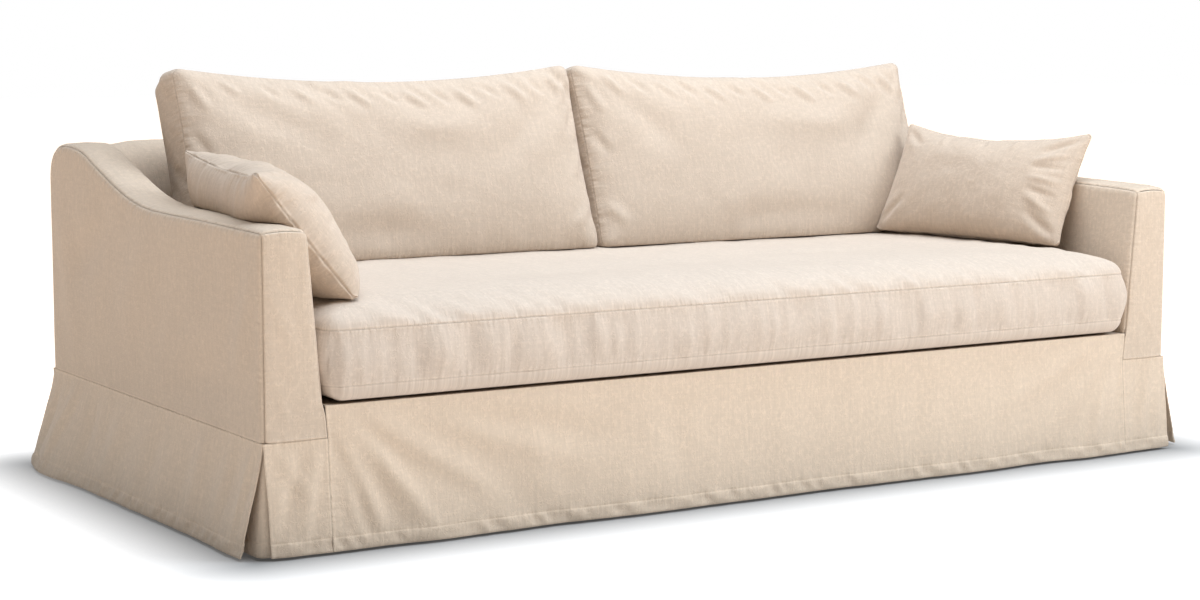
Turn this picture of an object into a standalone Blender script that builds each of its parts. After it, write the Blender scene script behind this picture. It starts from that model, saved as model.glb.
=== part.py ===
"""Fitted slipcover set for a three-seat sofa: the body cover with its skirt
and corner kick pleats, one bench seat cushion, two boxed back cushions and two
lumbar pillows.  Metres, +Z up, the sofa faces -Y.  The sofa inside the body
cover is left out, so the body cover is a hollow of thin sewn panels.
"""
import bpy
import bmesh
import math
import numpy as np

for _o in list(bpy.data.objects):
    bpy.data.objects.remove(_o, do_unlink=True)

# ------------------------------------------------------------ driving sizes
WIDTH = 2.300          # across the outer arms
DEPTH = 1.190          # front of the arms to the outside back
CLOTH = 0.002          # cloth thickness
GAP = 0.0003           # between neighbouring pieces
SEAM_Z = 0.216         # seam between the body panels and the skirt
DECK_Z = 0.278         # top of the seat deck
ARM_TOP_W = 0.099      # width of the arm band
ARM_FOOT_W = 0.132     # width of the arm at the skirt seam
BACK_END_Z = 0.650     # where the rounded tops end on the outside back

X_OUT = WIDTH / 2
Y_F = -DEPTH / 2
Y_B = DEPTH / 2
X_BAND = X_OUT - ARM_TOP_W
X_FOOT = X_OUT - ARM_FOOT_W

# top line of the arms, front to back: low and level, then a swept rise.
# The right arm is stuffed a little fuller than the left.
ARM_TOP = [  # distance behind the middle, height of the left and right arm
    dict(y=Y_F, left=0.611, right=0.611), dict(y=-0.560, left=0.612, right=0.616),
    dict(y=-0.450, left=0.614, right=0.620), dict(y=-0.300, left=0.617, right=0.624),
    dict(y=-0.150, left=0.618, right=0.626), dict(y=-0.030, left=0.620, right=0.629),
    dict(y=0.045, left=0.627, right=0.636), dict(y=0.121, left=0.641, right=0.652),
    dict(y=0.198, left=0.662, right=0.677), dict(y=0.290, left=0.691, right=0.710),
    dict(y=0.370, left=0.719, right=0.732), dict(y=0.425, left=0.728, right=0.737),
    dict(y=0.500, left=0.730, right=0.737), dict(y=0.545, left=0.724, right=0.729),
    dict(y=0.575, left=0.706, right=0.709), dict(y=0.589, left=0.684, right=0.686),
    dict(y=Y_B, left=0.662, right=0.662),
    dict(y=Y_B, left=BACK_END_Z, right=BACK_END_Z),
]
# section of the back: inside face, rounded top, outside face
BACK_LINE = [
    dict(y=0.330, z=DECK_Z), dict(y=0.345, z=0.420), dict(y=0.362, z=0.560),
    dict(y=0.385, z=0.650), dict(y=0.415, z=0.700), dict(y=0.455, z=0.727),
    dict(y=0.505, z=0.737), dict(y=0.550, z=0.730), dict(y=0.582, z=0.700),
    dict(y=Y_B, z=0.664), dict(y=Y_B, z=BACK_END_Z),
]
# how far the skirts stand out at the hem, along each side
SIDE_FLARE = [  # distance behind the middle, stand-off of each side's hem
    dict(y=-0.595, left=0.040, right=0.074), dict(y=-0.530, left=0.046, right=0.070),
    dict(y=-0.375, left=0.041, right=0.058), dict(y=-0.130, left=0.048, right=0.050),
    dict(y=0.140, left=0.058, right=0.056), dict(y=0.300, left=0.064, right=0.066),
    dict(y=0.430, left=0.080, right=0.080), dict(y=0.500, left=0.082, right=0.082),
    dict(y=0.595, left=0.054, right=0.056),
]
FRONT_PLEAT = dict(left=-0.010, right=0.012)   # shift of the skirt's free edge
FRONT_FOLDS = [  # where a soft fold starts and ends, its width and its rise
    dict(top=-0.985, hem=-0.780, width=0.060, rise=0.007),
    dict(top=-0.900, hem=-0.520, width=0.075, rise=-0.005),
    dict(top=-0.330, hem=-0.290, width=0.110, rise=0.004),
    dict(top=0.200, hem=0.170, width=0.120, rise=-0.004),
    dict(top=0.640, hem=0.560, width=0.100, rise=0.004),
    dict(top=0.930, hem=0.760, width=0.070, rise=-0.005),
    dict(top=0.990, hem=0.900, width=0.050, rise=0.006),
]
BACK_FOLDS = [
    dict(top=-0.800, hem=-0.760, width=0.120, rise=0.005),
    dict(top=-0.250, hem=-0.300, width=0.150, rise=-0.004),
    dict(top=0.300, hem=0.340, width=0.140, rise=0.005),
    dict(top=0.850, hem=0.820, width=0.110, rise=-0.004),
]
FRONT_FLARE = 0.018
BACK_FLARE = 0.018


# ------------------------------------------------------------ small maths
def table(rows, key, value, at):
    """Straight-line reading of a table's column at a position."""
    xs = [r[key] for r in rows]
    vs = [r[value] for r in rows]
    return float(np.interp(at, xs, vs))


def smooth(a, b, x):
    t = min(1.0, max(0.0, (x - a) / (b - a)))
    return t * t * (3 - 2 * t)


def mitred(line, d):
    """A (y, z) polyline moved d to its right hand side, with mitred bends."""
    out = []
    n = len(line)
    for i, (y, z) in enumerate(line):
        dirs = []
        if i > 0:
            a = np.array(line[i]) - np.array(line[i - 1])
            dirs.append(a / np.linalg.norm(a))
        if i < n - 1:
            a = np.array(line[i + 1]) - np.array(line[i])
            dirs.append(a / np.linalg.norm(a))
        norms = [np.array([t[1], -t[0]]) for t in dirs]
        m = sum(norms)
        m = m / np.linalg.norm(m)
        m = m / float(np.dot(m, norms[0]))
        out.append((y + m[0] * d, z + m[1] * d))
    return out


def arm_top(y, label="left"):
    return table(ARM_TOP, "y", label, y)


def arm_in(y, z, label="left"):
    """How far the inner face of an arm stands from the middle."""
    t = (z - SEAM_Z) / (arm_top(y, label) - SEAM_Z)
    return X_FOOT + (X_BAND - X_FOOT) * min(1.0, max(0.0, t))


def back_in(z):
    """The inside back's distance behind the middle, below its rounded top."""
    return float(np.interp(z, [r["z"] for r in BACK_LINE[:7]],
                           [r["y"] for r in BACK_LINE[:7]]))


# ------------------------------------------------------------ materials
def material(name, colour, rough):
    m = bpy.data.materials.new(name)
    m.use_nodes = True
    p = m.node_tree.nodes["Principled BSDF"]
    p.inputs["Base Color"].default_value = (*colour, 1.0)
    p.inputs["Roughness"].default_value = rough
    p.inputs["Metallic"].default_value = 0.0
    return m


SHADES = {
    "body": material("cover_cloth", (0.640, 0.505, 0.385), 0.92),
    "skirt": material("skirt_cloth", (0.655, 0.520, 0.395), 0.92),
    "cushion": material("cushion_cloth", (0.690, 0.560, 0.435), 0.92),
    "pillow": material("pillow_cloth", (0.680, 0.550, 0.425), 0.92),
}


def finish(name, bm, shade, flat=False):
    """Close up a mesh as one object with outward faces."""
    bmesh.ops.remove_doubles(bm, verts=bm.verts, dist=1e-6)
    bmesh.ops.recalc_face_normals(bm, faces=bm.faces)
    me = bpy.data.meshes.new(name)
    bm.to_mesh(me)
    bm.free()
    ob = bpy.data.objects.new(name, me)
    bpy.context.scene.collection.objects.link(ob)
    me.materials.append(SHADES[shade])
    if not flat:
        me.shade_smooth()
        me.set_sharp_from_angle(angle=math.radians(35))
    return ob


def panel(name, outer, inner, shade):
    """A cloth panel: a grid of outer points and the same grid on its inside."""
    rows, cols = len(outer), len(outer[0])
    bm = bmesh.new()
    vo = [[bm.verts.new(p) for p in r] for r in outer]
    vi = [[bm.verts.new(p) for p in r] for r in inner]
    for i in range(rows - 1):
        for j in range(cols - 1):
            bm.faces.new((vo[i][j], vo[i][j + 1], vo[i + 1][j + 1], vo[i + 1][j]))
            bm.faces.new((vi[i][j], vi[i + 1][j], vi[i + 1][j + 1], vi[i][j + 1]))
    for j in range(cols - 1):
        bm.faces.new((vo[0][j], vi[0][j], vi[0][j + 1], vo[0][j + 1]))
        bm.faces.new((vo[-1][j], vo[-1][j + 1], vi[-1][j + 1], vi[-1][j]))
    for i in range(rows - 1):
        bm.faces.new((vo[i][0], vo[i + 1][0], vi[i + 1][0], vi[i][0]))
        bm.faces.new((vo[i][-1], vi[i][-1], vi[i + 1][-1], vo[i + 1][-1]))
    return finish(name, bm, shade)


def ramp(n):
    return [i / n for i in range(n + 1)]


# ------------------------------------------------------------ the arms
ARM_LINE = {k: [(r["y"], r[k]) for r in ARM_TOP] for k in ("left", "right")}
ARM_UNDER = {k: mitred(line, CLOTH) for k, line in ARM_LINE.items()}
ARM_CLEAR = {k: mitred(line, CLOTH + GAP) for k, line in ARM_LINE.items()}


def outer_arm(side, label):
    s = side
    edge = ARM_CLEAR[label][:-1]
    ys = [max(y, Y_F + CLOTH + GAP) for y, _ in edge]
    z0 = SEAM_Z + GAP / 2
    outer, inner = [], []
    for v in ramp(3):
        ro, ri = [], []
        for y, (_, zt) in zip(ys, edge):
            u = (y - ys[0]) / (ys[-1] - ys[0])
            x = X_OUT + 0.004 * math.sin(math.pi * u) * math.sin(math.pi * v)
            z = z0 + (zt - z0) * v
            ro.append((s * x, y, z))
            ri.append((s * (x - CLOTH), y, z))
        outer.append(ro)
        inner.append(ri)
    return panel("outer_arm_" + label, outer, inner, "body")


def arm_band(side, label):
    s = side
    outer, inner = [], []
    for (y, z), (yi, zi) in zip(ARM_LINE[label], ARM_UNDER[label]):
        n = np.array([y - yi, z - zi]) / CLOTH
        ro, ri = [], []
        for w in ramp(3):
            x = X_OUT - ARM_TOP_W * w
            c = 0.0045 * math.sin(math.pi * w)
            ro.append((s * x, y + n[0] * c * 0.6, z + n[1] * c))
            ri.append((s * x, yi + n[0] * c * 0.6, zi + n[1] * c))
        outer.append(ro)
        inner.append(ri)
    outer[0] = [(x, Y_F, z) for x, _, z in outer[0]]
    inner[0] = [(x, Y_F, z) for x, _, z in inner[0]]
    return panel("arm_band_" + label, outer, inner, "body")


def arm_front(side, label):
    s = side
    z0, z1 = SEAM_Z + GAP / 2, ARM_TOP[0][label] - CLOTH - GAP
    outer, inner = [], []
    for v in ramp(5):
        z = z0 + (z1 - z0) * v
        a, b = X_OUT, arm_in(Y_F, z, label)
        ro, ri = [], []
        for w in ramp(3):
            x = a + (b - a) * w
            y = Y_F - 0.002 * math.sin(math.pi * w) * math.sin(math.pi * v)
            ro.append((s * x, y, z))
            ri.append((s * x, y + CLOTH, z))
        outer.append(ro)
        inner.append(ri)
    return panel("arm_front_" + label, outer, inner, "body")


def inner_arm(side, label):
    s = side
    y0 = Y_F + CLOTH + GAP

    clear = ARM_CLEAR[label]

    def top(y):
        return float(np.interp(y, [c[0] for c in clear], [c[1] for c in clear]))

    y_end = 0.450  # where the band's underside meets the inside back
    for _ in range(30):
        y_end = back_in(top(y_end))
    stops = [c[0] for c in clear if y0 + 0.001 < c[0] < y_end - 0.001]
    ys = [y0, *stops, y_end]
    z_end = top(y_end)
    outer, inner = [], []
    for v in ramp(5):
        z_back = DECK_Z + (z_end - DECK_Z) * v
        rear = back_in(z_back)
        ro, ri = [], []
        for y_at in ys:
            u = (y_at - y0) / (y_end - y0)
            y = y0 + (rear - y0) * u
            z = DECK_Z + (top(y_at) - DECK_Z) * v
            x = arm_in(y, z, label) if v < 1 else X_BAND
            ro.append((s * x, y, z))
            ri.append((s * (x + CLOTH), y, z))
        outer.append(ro)
        inner.append(ri)
    return panel("inner_arm_" + label, outer, inner, "body")


# ------------------------------------------------------------ back and deck
def inside_back():
    line = [(r["y"], r["z"]) for r in BACK_LINE]
    under = mitred(line, CLOTH)
    outer, inner = [], []
    for k, ((y, z), (yi, zi)) in enumerate(zip(line, under)):
        ends = [(arm_in(y, z, lb) - 4 * GAP if k < 6 else X_BAND - 2 * GAP)
                for lb in ("left", "right")]
        n = np.array([y - yi, z - zi]) / CLOTH
        ro, ri = [], []
        for u in ramp(10):
            x = -ends[0] + (ends[0] + ends[1]) * u
            c = 0.004 * math.sin(math.pi * u) * math.sin(math.pi * k / (len(line) - 1))
            ro.append((x, y + n[0] * c, z + n[1] * c))
            ri.append((x, yi + n[0] * c, zi + n[1] * c))
        outer.append(ro)
        inner.append(ri)
    return panel("inside_back", outer, inner, "body")


def outside_back():
    z0, z1 = SEAM_Z + GAP / 2, BACK_END_Z - GAP
    outer, inner = [], []
    for v in ramp(4):
        z = z0 + (z1 - z0) * v
        ro, ri = [], []
        for u in ramp(8):
            x = -X_OUT + WIDTH * u
            y = Y_B + 0.003 * math.sin(math.pi * u) * math.sin(math.pi * v)
            ro.append((x, y, z))
            ri.append((x, y - CLOTH, z))
        outer.append(ro)
        inner.append(ri)
    return panel("outside_back", outer, inner, "body")


def seat_deck():
    edge = X_FOOT + 0.003
    y0, y1 = Y_F + CLOTH + GAP, BACK_LINE[0]["y"] - GAP
    outer, inner = [], []
    for v in ramp(2):
        y = y0 + (y1 - y0) * v
        ro, ri = [], []
        for u in ramp(4):
            x = -edge + 2 * edge * u
            ro.append((x, y, DECK_Z))
            ri.append((x, y, DECK_Z - CLOTH))
        outer.append(ro)
        inner.append(ri)
    return panel("seat_deck", outer, inner, "body")


# ------------------------------------------------------------ the skirt
def fold_rise(folds, x, drop):
    """Stand-off of the soft folds at x, with drop 0 at the seam, 1 at the hem."""
    total = 0.0
    for f in folds:
        mid = f["top"] + (f["hem"] - f["top"]) * drop
        total += f["rise"] * math.exp(-((x - mid) / f["width"]) ** 2)
    return total * smooth(0.0, 0.8, drop)


def front_panel():
    zs = [DECK_Z, 0.250, SEAM_Z, 0.160, 0.100, 0.045, 0.0]
    outer, inner = [], []
    for z in zs:
        edge = (arm_in(Y_F, z) if z > SEAM_Z else X_FOOT) - GAP
        drop = max(0.0, (SEAM_Z - z) / SEAM_Z)
        deep = (DECK_Z - z) / DECK_Z
        ro, ri = [], []
        for u in ramp(22):
            x = -edge + 2 * edge * u
            y = Y_F - FRONT_FLARE * drop ** 1.2 - fold_rise(FRONT_FOLDS, x, deep) * (
                smooth(0, 0.04, u) * smooth(0, 0.04, 1 - u))
            ro.append((x, y, z))
            ri.append((x, y + CLOTH, z))
        outer.append(ro)
        inner.append(ri)
    return panel("front_panel", outer, inner, "skirt")


def skirt_front(side, label):
    s = side
    outer, inner = [], []
    for v in ramp(4):
        z = (SEAM_Z - GAP / 2) * (1 - v)
        a, b = X_OUT + FRONT_PLEAT[label] * v, X_FOOT
        ro, ri = [], []
        for w in ramp(3):
            x = a + (b - a) * w
            y = Y_F - FRONT_FLARE * v ** 1.2 + 0.003 * v * math.sin(math.pi * w)
            ro.append((s * x, y, z))
            ri.append((s * x, y + CLOTH, z))
        outer.append(ro)
        inner.append(ri)
    return panel("skirt_front_" + label, outer, inner, "skirt")


def skirt_side(side, label):
    s = side
    outer, inner = [], []
    for v in ramp(4):
        z = (SEAM_Z - GAP / 2) * (1 - v)
        y0 = Y_F + CLOTH + GAP + 0.020 * v
        y1 = Y_B - CLOTH - GAP - 0.010 * v
        ro, ri = [], []
        for u in ramp(14):
            y = y0 + (y1 - y0) * u
            x = X_OUT + table(SIDE_FLARE, "y", label, y) * v ** 1.1
            ro.append((s * x, y, z))
            ri.append((s * (x - CLOTH), y, z))
        outer.append(ro)
        inner.append(ri)
    return panel("skirt_side_" + label, outer, inner, "skirt")


def skirt_back():
    outer, inner = [], []
    for v in ramp(4):
        z = (SEAM_Z - GAP / 2) * (1 - v)
        edge = X_OUT - 0.010 * v
        ro, ri = [], []
        for u in ramp(16):
            x = -edge + 2 * edge * u
            y = Y_B + BACK_FLARE * v ** 1.2 + fold_rise(BACK_FOLDS, x, v) * (
                smooth(0, 0.05, u) * smooth(0, 0.05, 1 - u))
            ro.append((x, y, z))
            ri.append((x, y - CLOTH, z))
        outer.append(ro)
        inner.append(ri)
    return panel("skirt_back", outer, inner, "skirt")


def underlay(side, end, label):
    """The piece behind a corner's kick pleat, folded round the corner."""
    s, e = side, end
    legs = [  # along the side, round the corner, along the front or back
        dict(ax=0.0, ay=0.090, x=0.015, y=0.0), dict(ax=0.0, ay=0.045, x=0.014, y=0.0),
        dict(ax=0.0, ay=0.010, x=0.013, y=0.0), dict(ax=0.003, ay=0.003, x=0.010, y=0.002),
        dict(ax=0.010, ay=0.0, x=0.0, y=0.004), dict(ax=0.045, ay=0.0, x=0.0, y=0.005),
        dict(ax=0.090, ay=0.0, x=0.0, y=0.005),
    ]
    m = CLOTH + GAP
    outer, inner = [], []
    for v in ramp(3):
        z = (SEAM_Z - GAP / 2) * (1 - v)
        ro, ri = [], []
        for k, g in enumerate(legs):
            x = X_OUT - m - g["ax"] + g["x"] * v
            y = Y_B - m - g["ay"] + g["y"] * v
            dx = CLOTH if g["ax"] < 0.005 else 0.0
            dy = CLOTH if g["ay"] < 0.005 else 0.0
            ro.append((s * x, e * y, z))
            ri.append((s * (x - dx), e * (y - dy), z))
        outer.append(ro)
        inner.append(ri)
    return panel("pleat_underlay_" + label, outer, inner, "skirt")


# ------------------------------------------------------------ filled pieces
SEAT = dict(half=1.025, front=-0.606, back=0.327, bottom=0.281,
            lower_seam=0.313, upper_seam=0.419, crown=0.056, corner=0.035)
BACKS = dict(half=0.497, rise=0.452, boxing=0.112, front_crown=0.052,
             back_crown=0.072, lean=19.5, foot_y=0.078, foot_z=0.470,
             dip=0.034, corner=0.018)
PILLOWS = [  # foot of the far end, run of the bottom edge, lean on the arm
    dict(label="left", side=-1, x=0.828, y=0.018, z=0.484, run=10.0, lean=38.0,
         tip=-1.9, width=0.566, height=0.317, front=0.098, rear=0.050),
    dict(label="right", side=1, x=0.803, y=0.062, z=0.486, run=17.5, lean=27.7,
         tip=-1.4, width=0.524, height=0.295, front=0.078, rear=0.055),
]
PILLOW = dict(edge=0.003, draw=0.020)


def rounded(hx, hy, r, n_long, n_short, n_corner):
    """Points round a rounded rectangle, anticlockwise from its right side."""
    pts = []
    for k in range(n_short):
        pts.append((hx, -hy + r + (2 * hy - 2 * r) * k / n_short))
    for k in range(n_corner):
        a = 0.5 * math.pi * k / n_corner
        pts.append((hx - r + r * math.cos(a), hy - r + r * math.sin(a)))
    for k in range(n_long):
        pts.append((hx - r - (2 * hx - 2 * r) * k / n_long, hy))
    for k in range(n_corner):
        a = 0.5 * math.pi * (1 + k / n_corner)
        pts.append((-hx + r + r * math.cos(a), hy - r + r * math.sin(a)))
    for k in range(n_short):
        pts.append((-hx, hy - r - (2 * hy - 2 * r) * k / n_short))
    for k in range(n_corner):
        a = math.pi * (1 + 0.5 * k / n_corner)
        pts.append((-hx + r + r * math.cos(a), -hy + r + r * math.sin(a)))
    for k in range(n_long):
        pts.append((-hx + r + (2 * hx - 2 * r) * k / n_long, -hy))
    for k in range(n_corner):
        a = math.pi * (1.5 + 0.5 * k / n_corner)
        pts.append((hx - r + r * math.cos(a), -hy + r + r * math.sin(a)))
    return pts


def loft(name, rings, shade):
    """A closed skin over rings of points, closed by a fan at each end."""
    bm = bmesh.new()
    vs = [[bm.verts.new(p) for p in r] for r in rings]
    n = len(vs[0])
    for a, b in zip(vs, vs[1:]):
        for j in range(n):
            bm.faces.new((a[j], a[(j + 1) % n], b[(j + 1) % n], b[j]))
    for ring in (vs[0], vs[-1]):
        mid = bm.verts.new(tuple(np.mean([v.co for v in ring], axis=0)))
        for j in range(n):
            bm.faces.new((ring[j], ring[(j + 1) % n], mid))
    bmesh.ops.triangulate(bm, faces=bm.faces)
    return finish(name, bm, shade)


def seat_top(x, y):
    """Height of the seat cushion's top at a point of its plan."""
    u = min(1.0, abs(x) / SEAT["half"])
    mid = (SEAT["front"] + SEAT["back"]) / 2
    v = min(1.0, abs(y - mid) / ((SEAT["back"] - SEAT["front"]) / 2))
    d = min(SEAT["half"] * (1 - u), (SEAT["back"] - SEAT["front"]) / 2 * (1 - v))
    return SEAT["upper_seam"] + SEAT["crown"] * math.sqrt(
        max(0.0, 1 - (1 - min(1.0, d / 0.17)) ** 2.2))


def seat_cushion():
    mid = (SEAT["front"] + SEAT["back"]) / 2
    hy = (SEAT["back"] - SEAT["front"]) / 2
    levels = [  # inset from the widest outline and height
        dict(inset=0.300, z=SEAT["bottom"]), dict(inset=0.060, z=SEAT["bottom"]),
        dict(inset=0.012, z=SEAT["bottom"] + 0.006),
        dict(inset=0.004, z=SEAT["lower_seam"]),
        dict(inset=0.000, z=(SEAT["lower_seam"] + SEAT["upper_seam"]) / 2),
        dict(inset=0.006, z=SEAT["upper_seam"]),
        dict(inset=0.028, z=None), dict(inset=0.070, z=None),
        dict(inset=0.140, z=None), dict(inset=0.300, z=None),
    ]
    rings = []
    for lv in levels:
        i = lv["inset"]
        ring = []
        for x, y in rounded(SEAT["half"] - i, hy - i, max(0.012, SEAT["corner"] - i * 0.15),
                            10, 4, 3):
            y += mid
            z = seat_top(x, y) if lv["z"] is None else lv["z"]
            ring.append((x, y, z))
        rings.append(ring)
    return loft("seat_cushion", rings, "cushion")


def back_cushion(side, label):
    b = BACKS
    hx, hz = b["half"], b["rise"] / 2
    lean = math.radians(b["lean"])
    half_t = b["boxing"] / 2
    levels = [  # inset from the outline and distance in front of the middle
        dict(inset=0.210, n=half_t + b["front_crown"]),
        dict(inset=0.120, n=half_t + b["front_crown"] * 0.90),
        dict(inset=0.055, n=half_t + b["front_crown"] * 0.62),
        dict(inset=0.018, n=half_t + b["front_crown"] * 0.26),
        dict(inset=0.003, n=half_t), dict(inset=0.000, n=0.0),
        dict(inset=0.003, n=-half_t),
        dict(inset=0.020, n=-half_t - b["back_crown"] * 0.28),
        dict(inset=0.070, n=-half_t - b["back_crown"] * 0.68),
        dict(inset=0.140, n=-half_t - b["back_crown"] * 0.93),
        dict(inset=0.210, n=-half_t - b["back_crown"]),
    ]
    middle = side * (hx + 0.0025)
    rings = []
    for lv in levels:
        i = lv["inset"]
        ring = []
        for x, h in rounded(hx - i, hz - i, max(0.010, b["corner"] - 0.1 * i), 9, 5, 2):
            k = 1 - (x / hx) ** 2
            if h > 0:
                h -= b["dip"] * k * (h / hz)
            x *= 1 - 0.012 * (1 - (h / hz) ** 2)
            up = h + hz
            n = lv["n"] - half_t
            y = b["foot_y"] + up * math.sin(lean) - n * math.cos(lean)
            z = b["foot_z"] + up * math.cos(lean) + n * math.sin(lean)
            z = max(z, SEAT["upper_seam"] + SEAT["crown"] + 0.0015)
            y = min(y, back_in(min(z, 0.70)) - 0.006)
            ring.append((middle + x, y, z))
        rings.append(ring)
    return loft("back_cushion_" + label, rings, "cushion")


def pillow(row):
    p = PILLOW
    s = row["side"]
    run, lean, tip = (math.radians(row[k]) for k in ("run", "lean", "tip"))
    # along the bottom edge (back to front), up the face, and out of the face
    e = np.array([math.sin(run), -math.cos(run), 0.0])
    out = np.array([math.cos(run), math.sin(run), 0.0])
    up = np.array([0, 0, 1.0]) * math.cos(lean) + out * math.sin(lean)
    e, up = (e * math.cos(tip) + up * math.sin(tip),
             up * math.cos(tip) - e * math.sin(tip))
    face = np.cross(e, up)
    if face[0] > 0:
        face = -face
    base = np.array([row["x"], row["y"], row["z"]])
    hw, hh = row["width"] / 2, row["height"] / 2
    insets = [0.0, 0.012, 0.035, 0.075, 0.120]
    rings = []
    order = [(i, 1) for i in reversed(insets)] + [(i, -1) for i in insets]
    for i, front in order:
        ring = []
        for a, h in rounded(hw - i, hh - i, 0.006 + 0.10 * i, 6, 4, 1):
            ka, kh = 1 - (a / hw) ** 2, 1 - (h / hh) ** 2
            fill = row["front" if front > 0 else "rear"] * (
                max(0.0, ka) ** 0.5) * (max(0.0, kh) ** 0.55)
            fill = max(fill if i > 0 else 0.0, p["edge"] / 2)
            a2 = a * (1 - 0.6 * p["draw"] / hw * kh)
            h2 = h * (1 - p["draw"] / hh * ka)
            q = base + e * (a2 + hw) + up * (h2 + hh) + face * front * fill
            # it rests on the seat and presses against the arm and back cushion
            q[2] = max(q[2], seat_top(q[0], q[1]) + 0.004)
            over = q[2] - arm_top(q[1], row["label"]) - 0.004
            near = 0.016 * smooth(-0.12, -0.02, over)
            q[0] = min(q[0], arm_in(q[1], q[2], row["label"]) - 0.004 - near
                       + 1.2 * max(0.0, over))
            ring.append((s * q[0], q[1], q[2]))
        rings.append(ring)
    return loft("pillow_" + row["label"], rings, "pillow")


# ------------------------------------------------------------ assembly
for side, label in ((-1, "left"), (1, "right")):
    outer_arm(side, label)
    arm_band(side, label)
    arm_front(side, label)
    inner_arm(side, label)
    skirt_front(side, label)
    skirt_side(side, label)
    back_cushion(side, label)
    for end, where in ((-1, "front_"), (1, "back_")):
        underlay(side, end, where + label)
inside_back()
outside_back()
seat_deck()
front_panel()
skirt_back()
seat_cushion()
for _row in PILLOWS:
    pillow(_row)

# the origin is the middle of the whole set's plan, at the hem
_lo = np.full(3, 9.0)
_hi = np.full(3, -9.0)
for _o in bpy.data.objects:
    for _v in _o.data.vertices:
        _lo = np.minimum(_lo, _v.co)
        _hi = np.maximum(_hi, _v.co)
_shift = (-(_lo[0] + _hi[0]) / 2, -(_lo[1] + _hi[1]) / 2, -_lo[2])
for _o in bpy.data.objects:
    _o.location = _shift
print("plan shift", [round(float(c), 5) for c in _shift],
      "box", [round(float(c), 4) for c in (_hi - _lo)])
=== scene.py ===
"""Fitted sofa slipcover set in oatmeal cotton-linen: the visual model."""
import bpy
import math
import numpy as np
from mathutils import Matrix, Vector


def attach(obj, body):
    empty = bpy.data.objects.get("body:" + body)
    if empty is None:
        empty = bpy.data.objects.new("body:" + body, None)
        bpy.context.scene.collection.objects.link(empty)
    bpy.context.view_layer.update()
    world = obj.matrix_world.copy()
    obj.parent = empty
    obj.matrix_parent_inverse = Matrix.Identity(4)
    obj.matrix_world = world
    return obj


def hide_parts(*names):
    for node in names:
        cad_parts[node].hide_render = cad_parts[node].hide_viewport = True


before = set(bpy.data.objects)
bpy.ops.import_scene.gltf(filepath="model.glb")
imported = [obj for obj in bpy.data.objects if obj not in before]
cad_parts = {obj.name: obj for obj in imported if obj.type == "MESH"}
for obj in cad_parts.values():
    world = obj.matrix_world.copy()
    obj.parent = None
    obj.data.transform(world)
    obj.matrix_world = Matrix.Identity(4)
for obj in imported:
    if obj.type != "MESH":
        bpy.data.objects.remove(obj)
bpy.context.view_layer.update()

# ------------------------------------------------------------ camera
YAW, PITCH = math.radians(31.60510), math.radians(6.4710)
cam = bpy.data.objects.new("camera", bpy.data.cameras.new("camera"))
bpy.context.scene.collection.objects.link(cam)
cam.location = (-2.86819, -4.58039, 0.97308)
look = Vector((math.sin(YAW) * math.cos(PITCH), math.cos(YAW) * math.cos(PITCH),
               -math.sin(PITCH)))
cam.rotation_euler = look.to_track_quat("-Z", "Y").to_euler()
cam.data.sensor_width = 36.0
cam.data.lens = 70.37
cam.data.clip_end = 200.0
bpy.context.scene.camera = cam

# ------------------------------------------------------------ sizes, as the CAD
WIDTH, DEPTH, CLOTH, GAP = 2.300, 1.190, 0.002, 0.0003
SEAM_Z, DECK_Z = 0.216, 0.278
ARM_TOP_W, ARM_FOOT_W, BACK_END_Z = 0.099, 0.132, 0.650
X_OUT, Y_F, Y_B = WIDTH / 2, -DEPTH / 2, DEPTH / 2
X_BAND, X_FOOT = X_OUT - ARM_TOP_W, X_OUT - ARM_FOOT_W
ARM_TOP = [  # distance behind the middle, height of the left and right arm
    (Y_F, .611, .611), (-.560, .612, .616), (-.450, .614, .620), (-.300, .617, .624),
    (-.150, .618, .626), (-.030, .620, .629), (.045, .627, .636), (.121, .641, .652),
    (.198, .662, .677), (.290, .691, .710), (.370, .719, .732), (.425, .728, .737),
    (.500, .730, .737), (.545, .724, .729), (.575, .706, .709), (.589, .684, .686),
    (Y_B, .662, .662), (Y_B, .650, .650)]
BACK_LINE = [(.330, .278), (.345, .420), (.362, .560), (.385, .650), (.415, .700),
             (.455, .727), (.505, .737), (.550, .730), (.582, .700), (Y_B, .664),
             (Y_B, .650)]
SIDE_FLARE = [  # distance behind the middle, stand-off of the left and right hem
    (-.595, .040, .074), (-.530, .046, .070), (-.375, .041, .058), (-.130, .048, .050),
    (.140, .058, .056), (.300, .064, .066), (.430, .080, .080), (.500, .082, .082),
    (.595, .054, .056)]
FRONT_PLEAT = dict(left=-0.010, right=0.012)
FRONT_FOLDS = [  # top and hem place, width, rise
    (-.985, -.780, .060, .007), (-.900, -.520, .075, -.005), (-.330, -.290, .110, .004),
    (.200, .170, .120, -.004), (.640, .560, .100, .004), (.930, .760, .070, -.005),
    (.990, .900, .050, .006)]
BACK_FOLDS = [(-.800, -.760, .120, .005), (-.250, -.300, .150, -.004),
              (.300, .340, .140, .005), (.850, .820, .110, -.004)]
FRONT_FLARE = BACK_FLARE = 0.018
SEAT = dict(half=1.025, front=-.606, back=.327, bottom=.281, lower_seam=.313,
            upper_seam=.419, crown=.056, corner=.035)
BACKS = dict(half=.497, rise=.460, boxing=.112, front_crown=.052, back_crown=.072,
             lean=19.5, foot_y=.078, foot_z=.470, dip=.039, corner=.018)
PILLOWS = [
    dict(label="left", side=-1, x=.840, y=.040, z=.481, run=10.0, lean=38.0,
         tip=-1.9, width=.588, height=.317, front=.098, rear=.050, dip=.022, pull=1.0),
    dict(label="right", side=1, x=.803, y=.062, z=.486, run=17.5, lean=27.7,
         tip=-1.4, width=.524, height=.295, front=.078, rear=.055, dip=.036, pull=.5)]
PILLOW = dict(edge=.003, draw=.020)
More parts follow.
